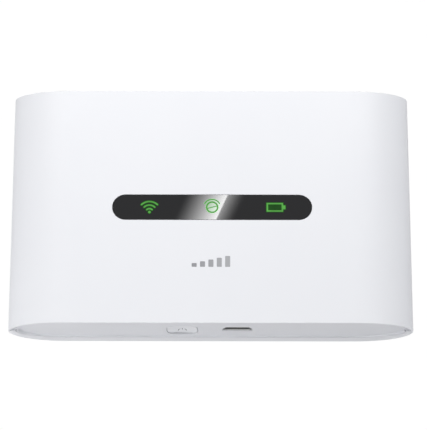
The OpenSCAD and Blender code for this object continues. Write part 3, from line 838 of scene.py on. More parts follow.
@dataclass
class Window:
    """Window lens with its three lit symbols and a ring of painted green glow round each."""

    width: float = field(init=False)
    depth: float = field(init=False)
    line: float = 0.42
    halo: float = 0.2
    edge_round: float = 0.22
    rim: float = 0.2
    dot_drop: float = 1.4
    dot: float = 0.36
    waves: tuple[float, ...] = (0.97, 1.97, 2.97)
    battery_half: Point = (2.2, 1.25)
    battery_shift: float = 0.3
    nub: Point = (0.6, 0.55)
    battery_corners: Point = (0.12, 0.08)
    ring: float = 1.45
    bar_tilt: float = 15.0
    bar_line: float = 0.26
    arc_gap: float = 0.75
    arc_line: float = 0.3
    arc_span: Point = (28.0, 152.0)

    def __post_init__(self) -> None:
        """Reads the lens's place from the frame."""
        low, high = low_corner("window_lens"), high_corner("window_lens")
        self.width, self.depth = high.x - low.x, high.y - low.y
        self.bottom, self.top = low.z, high.z
        self.x, self.y = (low.x + high.x) / 2, (low.y + high.y) / 2

    def wireless(self, grow: float) -> list[list[Point]]:
        """Three arcs over a dot, each line grown by the same amount."""
        x, y = middle("wireless_symbol").x, self.y - self.dot_drop
        line = self.line + 2 * grow
        dot = circle(self.dot + grow, (x, y), 20)
        return [dot] + [band(radius, line, 45, 135, (x, y)) for radius in self.waves]

    def charge(self, grow: float) -> tuple[list[Point], list[Point]]:
        """Outer and inner outline of the battery symbol, with its nub on the right."""
        x, y = middle("charge_symbol").x - self.battery_shift, self.y
        half_w, half_h = [half + grow for half in self.battery_half]
        nub_w, nub_h = self.nub[0], self.nub[1] + grow
        outer = [(x - half_w, y - half_h), (x + half_w, y - half_h), (x + half_w, y - nub_h),
                 (x + half_w + nub_w, y - nub_h), (x + half_w + nub_w, y + nub_h),
                 (x + half_w, y + nub_h), (x + half_w, y + half_h), (x - half_w, y + half_h)]
        wall = self.line + grow
        inner = rectangle((x - half_w + wall + grow, y - half_h + wall + grow),
                          (x + half_w - wall - grow, y + half_h - wall - grow))
        outer_corner, inner_corner = self.battery_corners
        return fillet(outer, outer_corner, 3), fillet(inner, inner_corner, 3)

    def symbols(self, grow: float, low: float, high: float) -> dict[str, Solid]:
        """The three symbols as solids.

        Args:
            grow: How much wider each line is than the lit line, on each side.
            low: Their lowest height.
            high: Their highest height.

        Returns:
            Solids by the name of the CAD node.
        """
        arcs = [prism(outline, Axis.Z, low, high) for outline in self.wireless(grow)]
        wireless = Solid("wireless", arcs[0])
        for arc in arcs[1:]:
            wireless.join(arc)
        x, y, ring = middle("network_symbol").x, self.y, self.ring
        line = self.line + 2 * grow
        network = Solid("network", prism(circle(ring + line / 2, (x, y)), Axis.Z, low, high))
        if grow == 0:
            network.cut(prism(circle(ring - line / 2, (x, y)), Axis.Z, low - PAST, high + PAST))
            tilt = math.radians(self.bar_tilt)
            ends = [(x + side * ring * math.cos(tilt), y + side * ring * math.sin(tilt))
                    for side in (-1, 1)]
            network.join(prism(self.bar(*ends), Axis.Z, low, high))
        network.join(prism(band(ring + self.arc_gap, self.arc_line + 2 * grow, *self.arc_span,
                                (x, y)), Axis.Z, low, high))
        outer, inner = self.charge(grow)
        charge = Solid("charge", prism(outer, Axis.Z, low, high))
        if grow == 0:
            charge.cut(prism(inner, Axis.Z, low - PAST, high + PAST))
        return {"wireless_symbol": wireless, "network_symbol": network, "charge_symbol": charge}

    def bar(self, start: Point, end: Point) -> list[Point]:
        """Straight bar between two points, counter-clockwise."""
        along = (Vector(end) - Vector(start)).normalized()
        side = Vector((-along.y, along.x)) * self.bar_line / 2
        corners = [Vector(start) - side, Vector(end) - side, Vector(end) + side,
                   Vector(start) + side]
        return [(corner.x, corner.y) for corner in corners]

    def build(self, finishes: dict[str, bpy.types.Material]) -> None:
        """Makes the lens, the symbols and the rings of painted glow round them."""
        lens = Solid("window_lens_face", prism(
            round_rect(self.width, self.depth, self.depth / 2, (self.x, self.y), 24), Axis.Z,
            self.bottom, self.top))
        for shape in self.symbols(self.halo, self.bottom - PAST, self.top + PAST).values():
            lens.cut(evaluated_solid(shape))
        inner_edge = self.depth / 2 - self.rim

        def outer_edge(at: Vector) -> float:
            """Rounds the lens's outer edge only."""
            across = max(0.0, abs(at.x - self.x) - (self.width - self.depth) / 2)
            on_rim = math.hypot(across, at.y - self.y) > inner_edge
            return self.edge_round if at.z > self.top - ON and on_rim else 0.0

        dress(lens.make(outer_edge, 3), finishes["window"],
              replaced=["window_lens"])
        lit = self.symbols(0.0, self.bottom, self.top)
        glow_halos = self.symbols(self.halo, self.bottom, self.top)
        holes = self.symbols(0.0, self.bottom - PAST, self.top + PAST)
        # Each halo is a ring of dim green emission round its symbol: painted glow, standing for the
        # backlight spreading into the lens. The ..._edge pieces are these painted glow halos.
        for node in lit:
            edge = glow_halos[node]
            edge.name = node.replace("symbol", "edge")
            edge.cut(evaluated_solid(holes[node]))
            # The network symbol's halo sits under the glare streak and glows brighter there:
            # painted highlight, besides its real glossy reflection of the card.
            halo_look = "symbol_painted_glow_under_glare" if node == "network_symbol" else "symbol_painted_glow_halo"
            dress(edge.make(), finishes[halo_look])
            lit[node].name = node + "_lit"
            dress(lit[node].make(), finishes["symbol"], replaced=[node])


@dataclass
class FrontShell:
    """Front shell: a flat face with two rounded sides, open below."""

    body: Body
    window: Window
    top: float = 1.4
    side: float = 1.5
    lip: float = 0.6
    rabbet: float = 1.6
    recess_gap: float = 0.1
    end_round: float = 0.34
    lip_round: float = 0.14
    seam_round: float = 0.2
    recess_round: float = 0.12
    seam_band: float = 0.1
    ledge: Point = (2.0, 1.15)
    boss_radius: float = 2.4
    boss_low: float = 9.25
    pilot_radius: float = 1.02

    def build(self, finish: bpy.types.Material) -> None:
        """Makes the shell and sets it on the housing."""
        body, end, far = self.body, self.body.end, self.body.end + 5 * PAST
        shell = Solid("front_shell_skin", body.half_prism(0, body.thickness, -end, end))
        shell.cut(body.half_prism(self.side, body.thickness - self.top, -far, far, PAST))
        for low, high in ((-far, -(end - self.rabbet)), (end - self.rabbet, far)):
            shell.cut(body.half_prism(self.lip, body.thickness - self.lip, low, high, PAST))
        roof = body.thickness - self.top
        for place in SCREW_PLACES:
            shell.join(prism(circle(self.boss_radius, place), Axis.Z, self.boss_low,
                             roof + self.top / 2))
            shell.cut(prism(circle(self.pilot_radius, place, 32), Axis.Z, self.boss_low - PAST,
                            roof + self.top / 2 - self.lip))
        window, recess = self.window, self.recess_gap
        shell.cut(prism(round_rect(window.width + 2 * recess, window.depth + 2 * recess,
                                   window.depth / 2 + recess, (window.x, window.y), 24),
                        Axis.Z, window.bottom - recess, body.thickness + PAST))
        shell.cut(prism(round_rect(window.width - 2 * self.ledge[0],
                                   window.depth - 2 * self.ledge[1],
                                   window.depth / 2 - self.ledge[1], (window.x, window.y), 16),
                        Axis.Z, body.thickness - 2 * self.top, body.thickness))
        mark = Mark()
        for outline in mark.bars(mark.gap):
            shell.cut(prism(outline, Axis.Z, low_corner("signal_mark").z - mark.gap,
                            body.thickness + PAST))

        def rounding(at: Vector) -> float:
            """Rounds the end edges, the seam and the window's recess."""
            if abs(at.y) > end - ON:
                if body.on_outline(at, 0, body.thickness):
                    return self.end_round
                return self.lip_round
            if at.z < body.seam + ON and abs(at.x) > body.width / 2 - self.seam_band:
                return self.seam_round
            if at.z > body.thickness - ON and at.y > window.y - window.depth:
                return self.recess_round
            return 0.0

        dress(shell.make(rounding), finish, replaced=["front_shell"])


@dataclass
class Mark:
    """Grey bars under the window that rise to the right."""

    gap: float = 0.02
    count: int = 5
    width: float = 1.3
    pitch: float = 2.2
    lowest: float = 1.0
    step: float = 0.5
    corner: float = 0.18

    def bars(self, grow: float) -> list[list[Point]]:
        """Outline of each bar, grown by an amount on every side."""
        base = low_corner("signal_mark").y
        outlines = []
        for i in range(self.count):
            height = self.lowest + i * self.step
            centre = ((i - (self.count - 1) / 2) * self.pitch, base + height / 2)
            outlines.append(round_rect(self.width + 2 * grow, height + 2 * grow,
                                       self.corner + grow, centre, 4))
        return outlines

    def build(self, finish: bpy.types.Material) -> None:
        """Makes the bars as thin prints in their shallow recess."""
        low, high = low_corner("signal_mark").z, high_corner("signal_mark").z
        shapes = [prism(outline, Axis.Z, low, high) for outline in self.bars(0.0)]
        bars = Solid("signal_bars", shapes[0])
        for shape in shapes[1:]:
            bars.join(shape)
        dress(bars.make(), finish, replaced=["signal_mark"])


@dataclass
class RearCover:
    """Rear cover: the lower half of the body, lifted off to reach the battery."""

    body: Body
    floor: float = 1.2
    side: float = 1.3
    end_wall: float = 1.2
    rim: float = 3.2
    rim_side: float = 1.8
    seam_gap: float = 0.25
    end_round: float = 0.4
    rim_round: float = 0.2
    seam_round: float = 0.2
    nail_radius: float = 9.0
    nail_depth: float = 1.3
    nail_past: float = 0.1
    tab_x: float = 25.0
    tab: Point = (9.0, 0.8)
    tab_root: float = 0.3
    seam_band: float = 0.2
    seam_margin: float = 0.3
    rim_low: float = 1.5

    def build(self, finish: bpy.types.Material) -> None:
        """Makes the cover and sets it on its own body."""
        body, end, far = self.body, self.body.end, self.body.end + 5 * PAST
        seam = body.seam - self.seam_gap
        cover = Solid("rear_cover_skin", body.half_prism(0, 0, -end, end))
        cover.cut(body.half_prism(self.side, self.floor, -end + self.end_wall,
                                  end - self.end_wall, PAST))
        cover.cut(body.half_prism(self.rim_side, self.rim, -far, far, PAST))
        half = body.width
        cover.cut(prism(rectangle((-half, -far), (half, far)), Axis.Z, seam, body.thickness))
        nail = circle(self.nail_radius, (0.0, self.rim - self.nail_depth + self.nail_radius), 96)
        cover.cut(prism(nail, Axis.Y, end - self.end_wall - self.nail_past, far))
        for x in (-self.tab_x, self.tab_x):
            for side in (-1, 1):
                wall = side * (end - self.end_wall)
                inner = wall - side * self.tab[1]
                low, high = sorted((wall + side * self.tab_root, inner))
                cover.join(prism(rectangle((x - self.tab[0] / 2, self.floor - self.tab_root),
                                           (x + self.tab[0] / 2, self.rim)), Axis.Y, low, high))

        def rounding(at: Vector) -> float:
            """Rounds the end edges, the rims and the seam."""
            if abs(at.y) > end - ON:
                if body.on_outline(at, 0, 0) and at.z < seam - self.seam_margin:
                    return self.end_round
                return self.rim_round
            if at.z > seam - ON and abs(at.x) > body.width / 2 - self.seam_band:
                return self.seam_round
            if abs(at.y) > end - self.end_wall - ON and at.z > self.rim_low:
                return self.rim_round
            return 0.0

        dress(cover.make(rounding), finish, "rear_cover_body", ["rear_cover"])


@dataclass
class PowerButton:
    """Oval power button with a dished face and a printed power sign."""

    corner: float = 1.9
    brim: float = 0.5
    cap_depth: float = 1.0
    flange: float = 0.6
    flange_corner: float = 1.0
    overlap: float = 0.1
    stem: tuple[float, float] = (2.4, 1.2)
    stem_z: float = 10.4
    dish_radius: float = 15.5
    dish_depth: float = 0.5
    face_round: float = 0.25
    round_steps: int = 6
    dish_steps: int = 14
    sign_radius: float = 1.05
    sign_line: float = 0.26
    sign_drop: float = 1.45
    sign_span: Point = (128.0, 412.0)
    bar_share: float = 0.85
    ink: float = 0.02

    def __post_init__(self) -> None:
        """Reads the button's place from the frame."""
        self.low, self.high = low_corner("power_button"), high_corner("power_button")
        self.centre = ((self.low.x + self.high.x) / 2, (self.low.z + self.high.z) / 2)
        self.width = self.high.x - self.low.x - 2 * self.brim
        self.height = self.high.z - self.low.z - 2 * self.brim

    def surface(self, x: float, z: float, radius: float = 0.0) -> float:
        """Y place of the dished face.

        Args:
            x: Place across, from the middle of the face.
            z: Place up, from the middle of the face.
            radius: Radius of the dish there; 0 takes the dish's own.

        Returns:
            The place along Y.
        """
        middle_y = self.low.y - self.dish_radius + self.dish_depth
        radius = radius or self.dish_radius
        return max(self.low.y, middle_y + math.sqrt(radius ** 2 - x * x - z * z))

    def ring(self, inset: float, shrink: float, sink: float) -> list[Vector]:
        """Ring of the cap's face.

        Args:
            inset: How far inside the cap's side it runs.
            shrink: Share that it is then drawn in towards the middle.
            sink: How far behind the face it lies.

        Returns:
            Points in millimetres.
        """
        outline = round_rect(self.width - 2 * inset, self.height - 2 * inset,
                             self.corner - inset, steps=16)
        return [Vector((self.centre[0] + x * shrink,
                        self.surface(x * shrink, z * shrink) + sink,
                        self.centre[1] + z * shrink)) for x, z in outline]

    def cap(self) -> bpy.types.Mesh:
        """Cap with a rounded rim and a dished face."""
        back_y = self.low.y + self.cap_depth
        back = [Vector((point.x, back_y, point.z)) for point in self.ring(0, 1, 0)]
        rings = [back]
        for step in range(self.round_steps + 1):
            turn = math.radians(90 * step / self.round_steps)
            rings.append(self.ring(self.face_round * (1 - math.cos(turn)), 1,
                                   self.face_round * (1 - math.sin(turn))))
        for step in range(1, self.dish_steps):
            rings.append(self.ring(self.face_round, 1 - step / self.dish_steps, 0))
        return loft(rings, "cap")

    def on_dish(self, outline: Sequence[Point], name: str) -> bpy.types.Mesh:
        """Thin print that follows the dish.

        Args:
            outline: Outline in X and Z, from the middle of the dish.
            name: Name of the mesh.

        Returns:
            A closed mesh as thick as the ink.
        """
        rings = [[Vector((self.centre[0] + x, self.surface(x, z, self.dish_radius + side),
                          self.centre[1] + z)) for x, z in outline]
                 for side in (-self.ink, self.ink)]
        return loft(rings, name)

    def build(self, finish: bpy.types.Material, ink: bpy.types.Material) -> None:
        """Makes the button and its sign."""
        flange_y = self.low.y + self.cap_depth - self.overlap
        button = Solid("power_button_cap", self.cap())
        button.join(prism(round_rect(self.width + 2 * self.brim, self.height + 2 * self.brim,
                                     self.flange_corner, self.centre), Axis.Y, flange_y,
                          flange_y + self.flange))
        half_w, half_h = self.stem[0] / 2, self.stem[1] / 2
        button.join(prism(rectangle((self.centre[0] - half_w, self.stem_z - half_h),
                                    (self.centre[0] + half_w, self.stem_z + half_h)),
                          Axis.Y, flange_y + self.flange - self.overlap, self.high.y))
        dress(button.make(), finish, "power_button_body", ["power_button"])
        drop, radius, line = self.sign_drop, self.sign_radius, self.sign_line
        sign = as_object(self.on_dish(band(radius, line, *self.sign_span, (0.0, -drop)),
                                      "power_ring"), "power_sign_ring")
        dress(sign, ink, "power_button_body")
        stroke = round_rect(line, radius, line / 2, (0.0, radius * self.bar_share - drop), 5)
        bar = as_object(self.on_dish(stroke, "power_bar"), "power_sign_bar")
        dress(bar, ink, "power_button_body")


@dataclass
class ChargingPort:
    """Metal shell of the charging port, folded from sheet with rounded corners."""

    wall: float = 0.25
    shoulder: float = 1.3
    slope: float = 0.8
    back: float = 0.3
    corner: float = 0.45
    corner_step: float = 0.15
    flare: float = 0.12

    def outline(self, inset: float, corner: float) -> list[Point]:
        """Outline of the shell, moved inwards by an amount."""
        low, high = low_corner("usb_shell"), high_corner("usb_shell")
        x, half, height = (low.x + high.x) / 2, (high.x - low.x) / 2, high.z - low.z
        top_half = half - self.slope - inset / 2
        points = [(x - half + inset, low.z + inset), (x + half - inset, low.z + inset),
                  (x + half - inset, low.z + self.shoulder - inset / 2),
                  (x + top_half, low.z + height - inset), (x - top_half, low.z + height - inset),
                  (x - half + inset, low.z + self.shoulder - inset / 2)]
        return fillet(points, corner)

    def build(self, finish: bpy.types.Material) -> None:
        """Makes the shell and sets it on the housing."""
        low, high = low_corner("usb_shell"), high_corner("usb_shell")
        shell = Solid("charging_port_shell", prism(self.outline(0, self.corner), Axis.Y,
                                                   low.y, high.y))
        shell.cut(prism(self.outline(self.wall, self.corner - self.corner_step), Axis.Y,
                        low.y - PAST, high.y - self.back))

        def rounding(at: Vector) -> float:
            """Rounds the mouth."""
            return self.flare if at.y < low.y + ON else 0.0

        dress(shell.make(rounding, 2), finish, replaced=["usb_shell"])


@dataclass
class Screws:
    """Four pan-head screws with a cross recess, hidden under the rear cover."""

    head: float = 1.8
    head_depth: float = 1.2
    shank: float = 1.0
    thread: float = 0.16
    pitch: float = 0.45
    plain: float = 0.2
    tip: float = 0.6
    tip_share: float = 0.55
    dome: float = 0.5
    dome_steps: int = 6
    steps: int = 32
    recess: tuple[float, float, float] = (2.2, 0.44, 0.7)

    def shape(self, x: float, y: float) -> Solid:
        """One screw at a place."""
        low, high = low_corner("case_screws").z, high_corner("case_screws").z
        seat = low + self.head_depth
        rings = []

        def ring(radius: float, z: float) -> list[Vector]:
            """Level circle round the screw."""
            return [Vector((x + px, y + py, z)) for px, py in circle(radius, steps=self.steps)]

        for step in range(self.dome_steps + 1):
            turn = math.radians(90 * step / self.dome_steps)
            rings.append(ring(self.head - self.dome * (1 - math.sin(turn)),
                              low + self.dome * (1 - math.cos(turn))))
        rings.append(ring(self.head, seat))
        rings.append(ring(self.shank, seat))
        turns = int((high - seat - self.tip) / self.pitch)
        for i in range(turns):
            z = seat + self.plain + i * self.pitch
            rings.append(ring(self.shank - self.thread, z))
            rings.append(ring(self.shank, z + self.pitch / 2))
        rings.append(ring(self.shank - self.thread, seat + self.plain + turns * self.pitch))
        rings.append(ring(self.shank * self.tip_share, high))
        screw = Solid("screw", loft(rings, "screw"))
        reach, width, depth = self.recess
        for half_x, half_y in ((reach / 2, width / 2), (width / 2, reach / 2)):
            screw.cut(prism(rectangle((x - half_x, y - half_y), (x + half_x, y + half_y)),
                            Axis.Z, low - PAST, low + depth))
        return screw

    def build(self, finish: bpy.types.Material) -> None:
        """Makes the four screws as one piece."""
        whole: Solid | None = None
        for x, y in SCREW_PLACES:
            one = evaluated_solid(self.shape(x, y))
            whole = Solid("pan_head_screws", one) if whole is None else whole.join(one)
        dress(whole.make(), finish, replaced=["case_screws"])


@dataclass
class InnerFrame:
    """Frame between the shells, with the panel that shows at each end."""

    body: Body
    end_depth: float = 1.6
    panel_round: float = 0.13
    panel_band: float = 0.3
    lip_round: float = 0.12
    under_round: float = 0.3
    bay_edge: float = 1.7

    def build(self, finish: bpy.types.Material) -> None:
        """Rounds the edges that can be seen or touched."""
        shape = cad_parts["mid_frame"].data.copy()
        shape.materials.clear()
        ends = self.body.end - self.end_depth

        def rounding(at: Vector) -> float:
            """Rounds the lips, the openings in the panels and the rear edges."""
            if abs(at.y) > self.body.end - ON:
                return self.lip_round
            if abs(at.y) > ends + self.panel_band:
                return self.panel_round
            if at.z < self.bay_edge and abs(at.y) < ends:
                return self.under_round
            return 0.0

        dress(Solid("inner_frame", shape).make(rounding, 2), finish,
              replaced=["mid_frame"])


@dataclass
class Inside:
    """CAD nodes that keep their own mesh, with softened edges and their finishes."""

    edge: dict[str, float] = field(default_factory=lambda: {
        "battery_cell": 0.8, "battery_cap": 0.25, "sim_card": 0.08,
        "memory_card": 0.08, "light_baffle": 0.1, "antenna_carrier": 0.15, "reset_button": 0.15,
        "heat_spreader": 0.05, "main_board": 0.06})
    default_edge: float = 0.05
    weld: float = 0.001

    def soften(self, node: str, material: bpy.types.Material) -> None:
        """Rounds a node's edges with modifiers and gives it its finish.

        Args:
            node: Name of the CAD node.
            material: Its finish.
        """
        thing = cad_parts[node]
        thing.data.materials.clear()
        thing.data.materials.append(material)
        thing.data.shade_smooth()
        weld = thing.modifiers.new("weld", "WELD")
        weld.merge_threshold = self.weld * MM
        flat = thing.modifiers.new("flat", "DECIMATE")
        flat.decimate_type, flat.angle_limit = "DISSOLVE", math.radians(0.5)
        flat.delimit = set()
        bevel = thing.modifiers.new("round", "BEVEL")
        bevel.limit_method, bevel.angle_limit = "ANGLE", SMOOTH_TURN
        bevel.width, bevel.segments = self.edge.get(node, self.default_edge) * MM, 2
        bevel.use_clamp_overlap, bevel.miter_outer = True, "MITER_ARC"
        even_normals(thing)
        log.info("%s: softened by %.2f mm", node, self.edge.get(node, self.default_edge))

    def build(self, looks: dict[str, bpy.types.Material], uses: dict[str, list[str]]) -> None:
        """Dresses every node that has no piece of its own."""
        for use, nodes in uses.items():
            for node in nodes:
                self.soften(node, looks[use])


# ------------------------------------------------------------------ stage


def flat_sheet(name: str, half_m: Point, material: bpy.types.Material) -> bpy.types.Object:
    """Flat rectangle of a half width and half depth in metres, facing up."""
    w, d = half_m
    mesh = bpy.data.meshes.new(name)
    mesh.from_pydata([(-w, -d, 0), (w, -d, 0), (w, d, 0), (-w, d, 0)], [], [(0, 1, 2, 3)])
    mesh.materials.append(material)
    return as_object(mesh, name)


@dataclass(frozen=True)
class Lamp:
    """Soft rectangular lamp: its place, the point it faces, its size, and its watts."""

    name: str
    place: tuple[float, float, float]
    target: tuple[float, float, float]
    size: Point
    power: float

    def build(self) -> None:
        """Makes the lamp."""
        data = bpy.data.lights.new(self.name, "AREA")
        data.shape, data.energy = "RECTANGLE", self.power
        data.size, data.size_y = self.size[0] * MM, self.size[1] * MM
        lamp = bpy.data.objects.new(self.name, data)
        lamp.location = Vector(self.place) * MM
        facing = Vector(self.target) - Vector(self.place)
        lamp.rotation_euler = facing.to_track_quat("-Z", "Y").to_euler()
        bpy.context.scene.collection.objects.link(lamp)


@dataclass
class Studio:
    """Floor, lights and camera."""

    aim: tuple[float, float, float] = (0.66, 0.32, 7.5)
    elevation: float = 69.51
    distance: float = 664.1
    lens: float = 207.4
    roll: float = 0.1
    table_tone: str = "#c4c4c5"
    table_fibre: str = "#cacacb"
    table_glow: float = 0.3
    sky_low: float = 0.4
    sky_high: float = 0.15
    sky_across: float = 0.06
    sky_top: float = 0.9
    table_half_m: float = 6.0
    table_drop: float = 0.02
    fibre: float = 25.0
    lamps: tuple[Lamp, ...] = (
        Lamp("key", (10, 330, 420), (10, 20, 8), (500, 160), 1.95),
        Lamp("top", (10, -140, 760), (0, 0, 8), (240, 200), 1.1),
        Lamp("front", (-60, -330, 760), (0, 0, 8), (220, 140), 1.1),
        Lamp("fill", (-190, -230, 130), (-20, -30, 8), (140, 90), 0.24))

    def camera(self) -> None:
        """Makes the camera and gives it to the scene."""
        tilt = math.radians(self.elevation)
        back = Vector((0, -math.cos(tilt), math.sin(tilt)))
        data = bpy.data.cameras.new("camera")
        data.lens, data.sensor_width = self.lens, 36.0
        data.clip_start, data.clip_end = 0.01, 20.0
        camera = bpy.data.objects.new("camera", data)
        camera.location = (Vector(self.aim) + back * self.distance) * MM
        turn = (-back).to_track_quat("-Z", "Y").to_matrix()
        camera.rotation_euler = (turn @ Matrix.Rotation(math.radians(self.roll), 3, "Z")).to_euler()
        bpy.context.scene.collection.objects.link(camera)
        bpy.context.scene.camera = camera

    def sheet(self, name: str, material: bpy.types.Material) -> bpy.types.Object:
        """Makes a wide flat sheet just under the body."""
        thing = flat_sheet(name, (self.table_half_m, self.table_half_m), material)
        thing.location.z = -self.table_drop * MM
        return thing

    def floor(self) -> None:
        """White light table: its bright face is what is seen, its matt face lights the body."""
        material, tree, place = start_material("lit_white_table_face")
        level = spread(tree, noise(tree, place, self.fibre), 1.0, 1.02)
        light = add_node(tree, "ShaderNodeEmission", links={"Strength": level})
        finish_material(tree, light.outputs["Emission"])
        seen = self.sheet("floor", material)
        seen.visible_diffuse = seen.visible_glossy = seen.visible_shadow = False
        seen.visible_transmission = False
        material, tree, place = start_material("matt_white_table")
        tint = blend(tree, self.table_tone, self.table_fibre, noise(tree, place, self.fibre))
        coat_with(tree, {"Roughness": 0.9, "Specular IOR Level": 0.1, "Emission Color": WHITE,
                         "Emission Strength": self.table_glow}, {"Base Color": tint})
        unseen = self.sheet("floor_bounce", material)
        unseen.visible_camera = False

    def sky(self) -> None:
        """Soft room light, brighter low down than above and a little brighter on the right."""
        world = bpy.data.worlds.new("studio")
        bpy.context.scene.world = world
        world.use_nodes = True
        tree = world.node_tree
        tree.nodes.clear()
        direction = add_node(tree, "ShaderNodeTexCoord").outputs["Generated"]
        parts = add_node(tree, "ShaderNodeSeparateXYZ", links={"Vector": direction})
        height = add_node(tree, "ShaderNodeMapRange",
                          {"From Min": 0.0, "From Max": self.sky_top, "To Min": self.sky_low,
                           "To Max": self.sky_high, "interpolation_type": "SMOOTHSTEP"},
                          {"Value": parts.outputs["Z"]})
        level = math_node(tree, "MULTIPLY_ADD", parts.outputs["X"], self.sky_across,
                          height.outputs["Result"])
        light = add_node(tree, "ShaderNodeBackground", {"Color": linear("#fafbff")},
                         {"Strength": level})
        add_node(tree, "ShaderNodeOutputWorld", links={"Surface": light.outputs["Background"]})

    def build(self) -> None:
        """Makes everything round the object."""
        bpy.context.scene.view_settings.view_transform = "Standard"
        self.sky()
        self.camera()
        self.floor()
        for lamp in self.lamps:
            lamp.build()
        # network_edge is the painted glow halo round the network symbol; it reflects the card, and
        # its brighter glow there is a painted highlight.
        GlareCard().build(["window_lens_face", "network_edge"])


@dataclass
class GlareCard:
    """Card above the body whose reflection crosses the window as a slanted streak.

    Its own coordinates are those of the window's face: it is that part of the face seen
    from the camera's mirror image, carried up to the card's height.
    """

    height: float = 300.0
    slant: float = 0.435
    edge: float = 4.4
    fade_left: float = 11.4
    fade_right: float = 5.0
    peak: float = 23.0
    tail: float = 7.0
    rise_power: float = 1.7
    fall_power: float = 1.8
    half_width: float = 26.0
    half_depth: float = 6.0
    pivot_y: float = 2.8

    def ramp(self, tree: bpy.types.NodeTree, place: bpy.types.NodeSocket, low: float, high: float,
             power: float) -> bpy.types.NodeSocket:
        """Clamped ramp from 0 to 1 between two places, raised to a power."""
        share = spread(tree, place, 0.0, 1.0, (low * MM, high * MM))
        return math_node(tree, "POWER", share, power)

    def material(self) -> bpy.types.Material:
        """Light that rises to a sharp slanted edge and fades beyond it."""
        material, tree, place = start_material("studio_card_light")
        parts = add_node(tree, "ShaderNodeSeparateXYZ", links={"Vector": place})
        lean = math_node(tree, "MULTIPLY_ADD", parts.outputs["Y"], -self.slant,
                         self.slant * self.pivot_y * MM)
        along = math_node(tree, "ADD", parts.outputs["X"], lean)
        rise = self.ramp(tree, along, self.edge - self.fade_left, self.edge, self.rise_power)
        fall = self.ramp(tree, along, self.edge + self.fade_right, self.edge, self.fall_power)
        before = math_node(tree, "LESS_THAN", along, self.edge * MM)
        left = math_node(tree, "MULTIPLY", rise, self.peak)
        right = math_node(tree, "MULTIPLY", fall, self.tail)
        level = add_node(tree, "ShaderNodeMix", {"data_type": "FLOAT"},
                         {0: before, 2: right, 3: left})
        light = add_node(tree, "ShaderNodeEmission", links={"Strength": level.outputs[0]})
        clear = add_node(tree, "ShaderNodeBsdfTransparent")
        both = add_node(tree, "ShaderNodeAddShader", links={0: light.outputs["Emission"],
                                                            1: clear.outputs["BSDF"]})
        finish_material(tree, both.outputs["Shader"])
        return material

    def build(self, receivers: Sequence[str]) -> None:
        """Makes the card and lets it light only some pieces.

        Args:
            receivers: Names of the pieces that reflect it.
        """
        top = high_corner("window_lens").z
        camera = Vector(bpy.context.scene.camera.location) / MM
        mirrored = Vector((camera.x, camera.y, 2 * top - camera.z))
        scale = (self.height - mirrored.z) / (top - mirrored.z)
        card = flat_sheet("glare_card", (self.half_width * MM, self.half_depth * MM),
                          self.material())
        card.location = (mirrored.x * (1 - scale) * MM, mirrored.y * (1 - scale) * MM,
                         self.height * MM)
        card.scale = (scale, scale, 1.0)
        card.visible_camera = card.visible_diffuse = card.visible_shadow = False
        card.visible_transmission = False
        lit = bpy.data.collections.new("reflects_card")
        for name in receivers:
            lit.objects.link(bpy.data.objects[name])
        card.light_linking.receiver_collection = lit


# ------------------------------------------------------------------ the whole


NODE_FINISHES = {
    "foam": ["lens_tape"],
    "film": ["diffuser_strip", "status_leds"],
    "dark_resin": ["light_baffle", "antenna_carrier", "usb_tongue", "switch_plunger", "sim_base",
                   "memory_base", "battery_cap", "battery_terminal"],
    "board": ["main_board"],
    "can": ["modem_shield", "radio_shield", "wifi_shield", "power_shield", "sim_cover",
            "memory_cover"],
    "chip": ["board_chips"],
    "ceramic": ["board_passives"],
    "graphite": ["heat_spreader"],
    "gold": ["usb_contacts", "sim_contacts", "memory_contacts", "battery_pads",
             "terminal_springs", "antenna_pins"],
    "switch": ["power_switch", "reset_switch"],
    "reset": ["reset_button"],
    "sim": ["sim_card"],
    "memory": ["memory_card"],
    "cell": ["battery_cell"],
    "bay_paper": ["bay_label"],
    "cell_paper": ["battery_label"],
    "copper": ["main_antenna", "diversity_antenna", "wifi_antenna"],
}


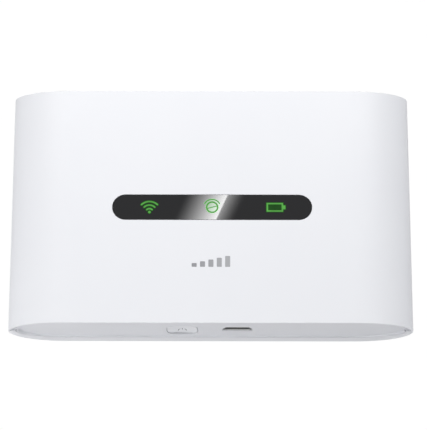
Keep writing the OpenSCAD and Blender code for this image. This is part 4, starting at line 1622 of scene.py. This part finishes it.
def finishes() -> dict[str, bpy.types.Material]:
    """Every material, by what it is used for."""
    bay, cell = middle("bay_label"), middle("battery_label")
    recipes = {
        "shell": MouldedPlastic("injection_moulded_pc_abs_white", "#e6e7ea", "#e2e3e7", 0.34),
        "cover": MouldedPlastic("injection_moulded_abs_white", "#e3e4e7", "#dfe0e4", 0.36),
        # Satin gloss is the frame's own, but its white is set darker than the shell's: painted
        # shade for the end panels, which face away from the lamps.
        "frame": MouldedPlastic("injection_moulded_abs_white_with_painted_shade", "#dcdde1", "#d8d9dd", 0.4),
        "button": MouldedPlastic("two_shot_polycarbonate_white", "#e4e5e8", "#e0e1e5", 0.3),
        "reset": MouldedPlastic("moulded_polycarbonate_grey", "#8f9298", "#888b91", 0.4),
        "sim": MouldedPlastic("card_stock_pvc_white", "#d9dce4", "#d3d7e0", 0.35),
        "memory": MouldedPlastic("card_resin_black", "#1c1d20", "#222327", 0.45),
        "window": PolishedAcrylic("polished_black_acrylic"),
        "symbol": LitInk("backlit_green_ink", "#1d3d18", "#539e45", 0.95),
        # Painted glow: dim green rings round the lit symbols.
        "symbol_painted_glow_halo": LitInk("painted_glow_halo_ink", "#0a140a", "#184a12", 0.95),
        # The network halo glows brighter than the others as a painted highlight under the glare
        # streak; its gloss also reflects the card.
        "symbol_painted_glow_under_glare": LitInk("painted_glow_halo_brighter_under_glare", "#0a140a", "#1c6a16", 0.95, 0.5, 0.02),
        "mark": PrintedInk("pad_printed_grey_ink", "#87888c", "#a2a3a6"),
        "sign": PrintedInk("pad_printed_sign_ink", "#8b8c90", "#929397"),
        "port": PlatedMetal("nickel_plated_steel_shell", "#b2b3b5", 0.3),
        "can": PlatedMetal("tin_plated_steel_can", "#c4c5c7", 0.32),
        "screw": PlatedMetal("nickel_plated_screw_steel", "#a9a8a4", 0.28, 0.08),
        "gold": PlatedMetal("gold_plated_bronze", "#e3b65c", 0.22, 0.06),
        "copper": PlatedMetal("copper_film", "#c9805a", 0.3, 0.2),
        "board": SolderMask("green_solder_mask"),
        "foam": Speckled("closed_cell_foam_tape", "#121214", "#1d1d20", 0.15, 0.9, 0.03),
        "dark_resin": Speckled("glass_filled_liquid_crystal_resin", "#1a1a1d", "#26262a", 0.3,
                               0.5),
        "chip": Speckled("epoxy_moulding_compound", "#17181a", "#232427", 0.12, 0.55),
        "ceramic": Speckled("fired_ceramic_and_tin", "#8a6f52", "#b9b4ab", 0.9, 0.45, 0.004, 0.1,
                            0.02),
        "graphite": Speckled("pressed_graphite_sheet", "#2b2c2f", "#46474b", 0.25, 0.4, 0.01, 0.5),
        "switch": PlatedMetal("tin_plated_switch_can", "#c8c8c9", 0.3, 0.1),
        "film": MilkyFilm("milky_diffuser_film", "#f2f3ee"),
        "cell": Speckled("printed_polyester_wrap", "#3a3d42", "#3e4146", 1.5, 0.38, 0.002),
        "bay_paper": PrintedLabel("coated_paper_bay_label", "#eceae4", "#7c7d80", span=(44.0, 28.0),
                                  centre=(bay.x, bay.y)),
        "cell_paper": PrintedLabel("coated_paper_battery_label", "#e7e6e1", "#6f7074", 3.0, 9.0,
                                   1.9, span=(44.0, 28.0), centre=(cell.x, cell.y)),
    }
    return {use: recipe.make() for use, recipe in recipes.items()}


def main() -> None:
    """Builds the looks."""
    logging.basicConfig(level=logging.INFO, format="%(name)s %(message)s")
    looks = finishes()
    body = Body()
    window = Window()
    window.build(looks)
    FrontShell(body, window).build(looks["shell"])
    Mark().build(looks["mark"])
    RearCover(body).build(looks["cover"])
    PowerButton().build(looks["button"], looks["sign"])
    ChargingPort().build(looks["port"])
    Screws().build(looks["screw"])
    InnerFrame(body).build(looks["frame"])
    Inside().build(looks, NODE_FINISHES)
    Studio().build()


if __name__ == "__main__":
    main()
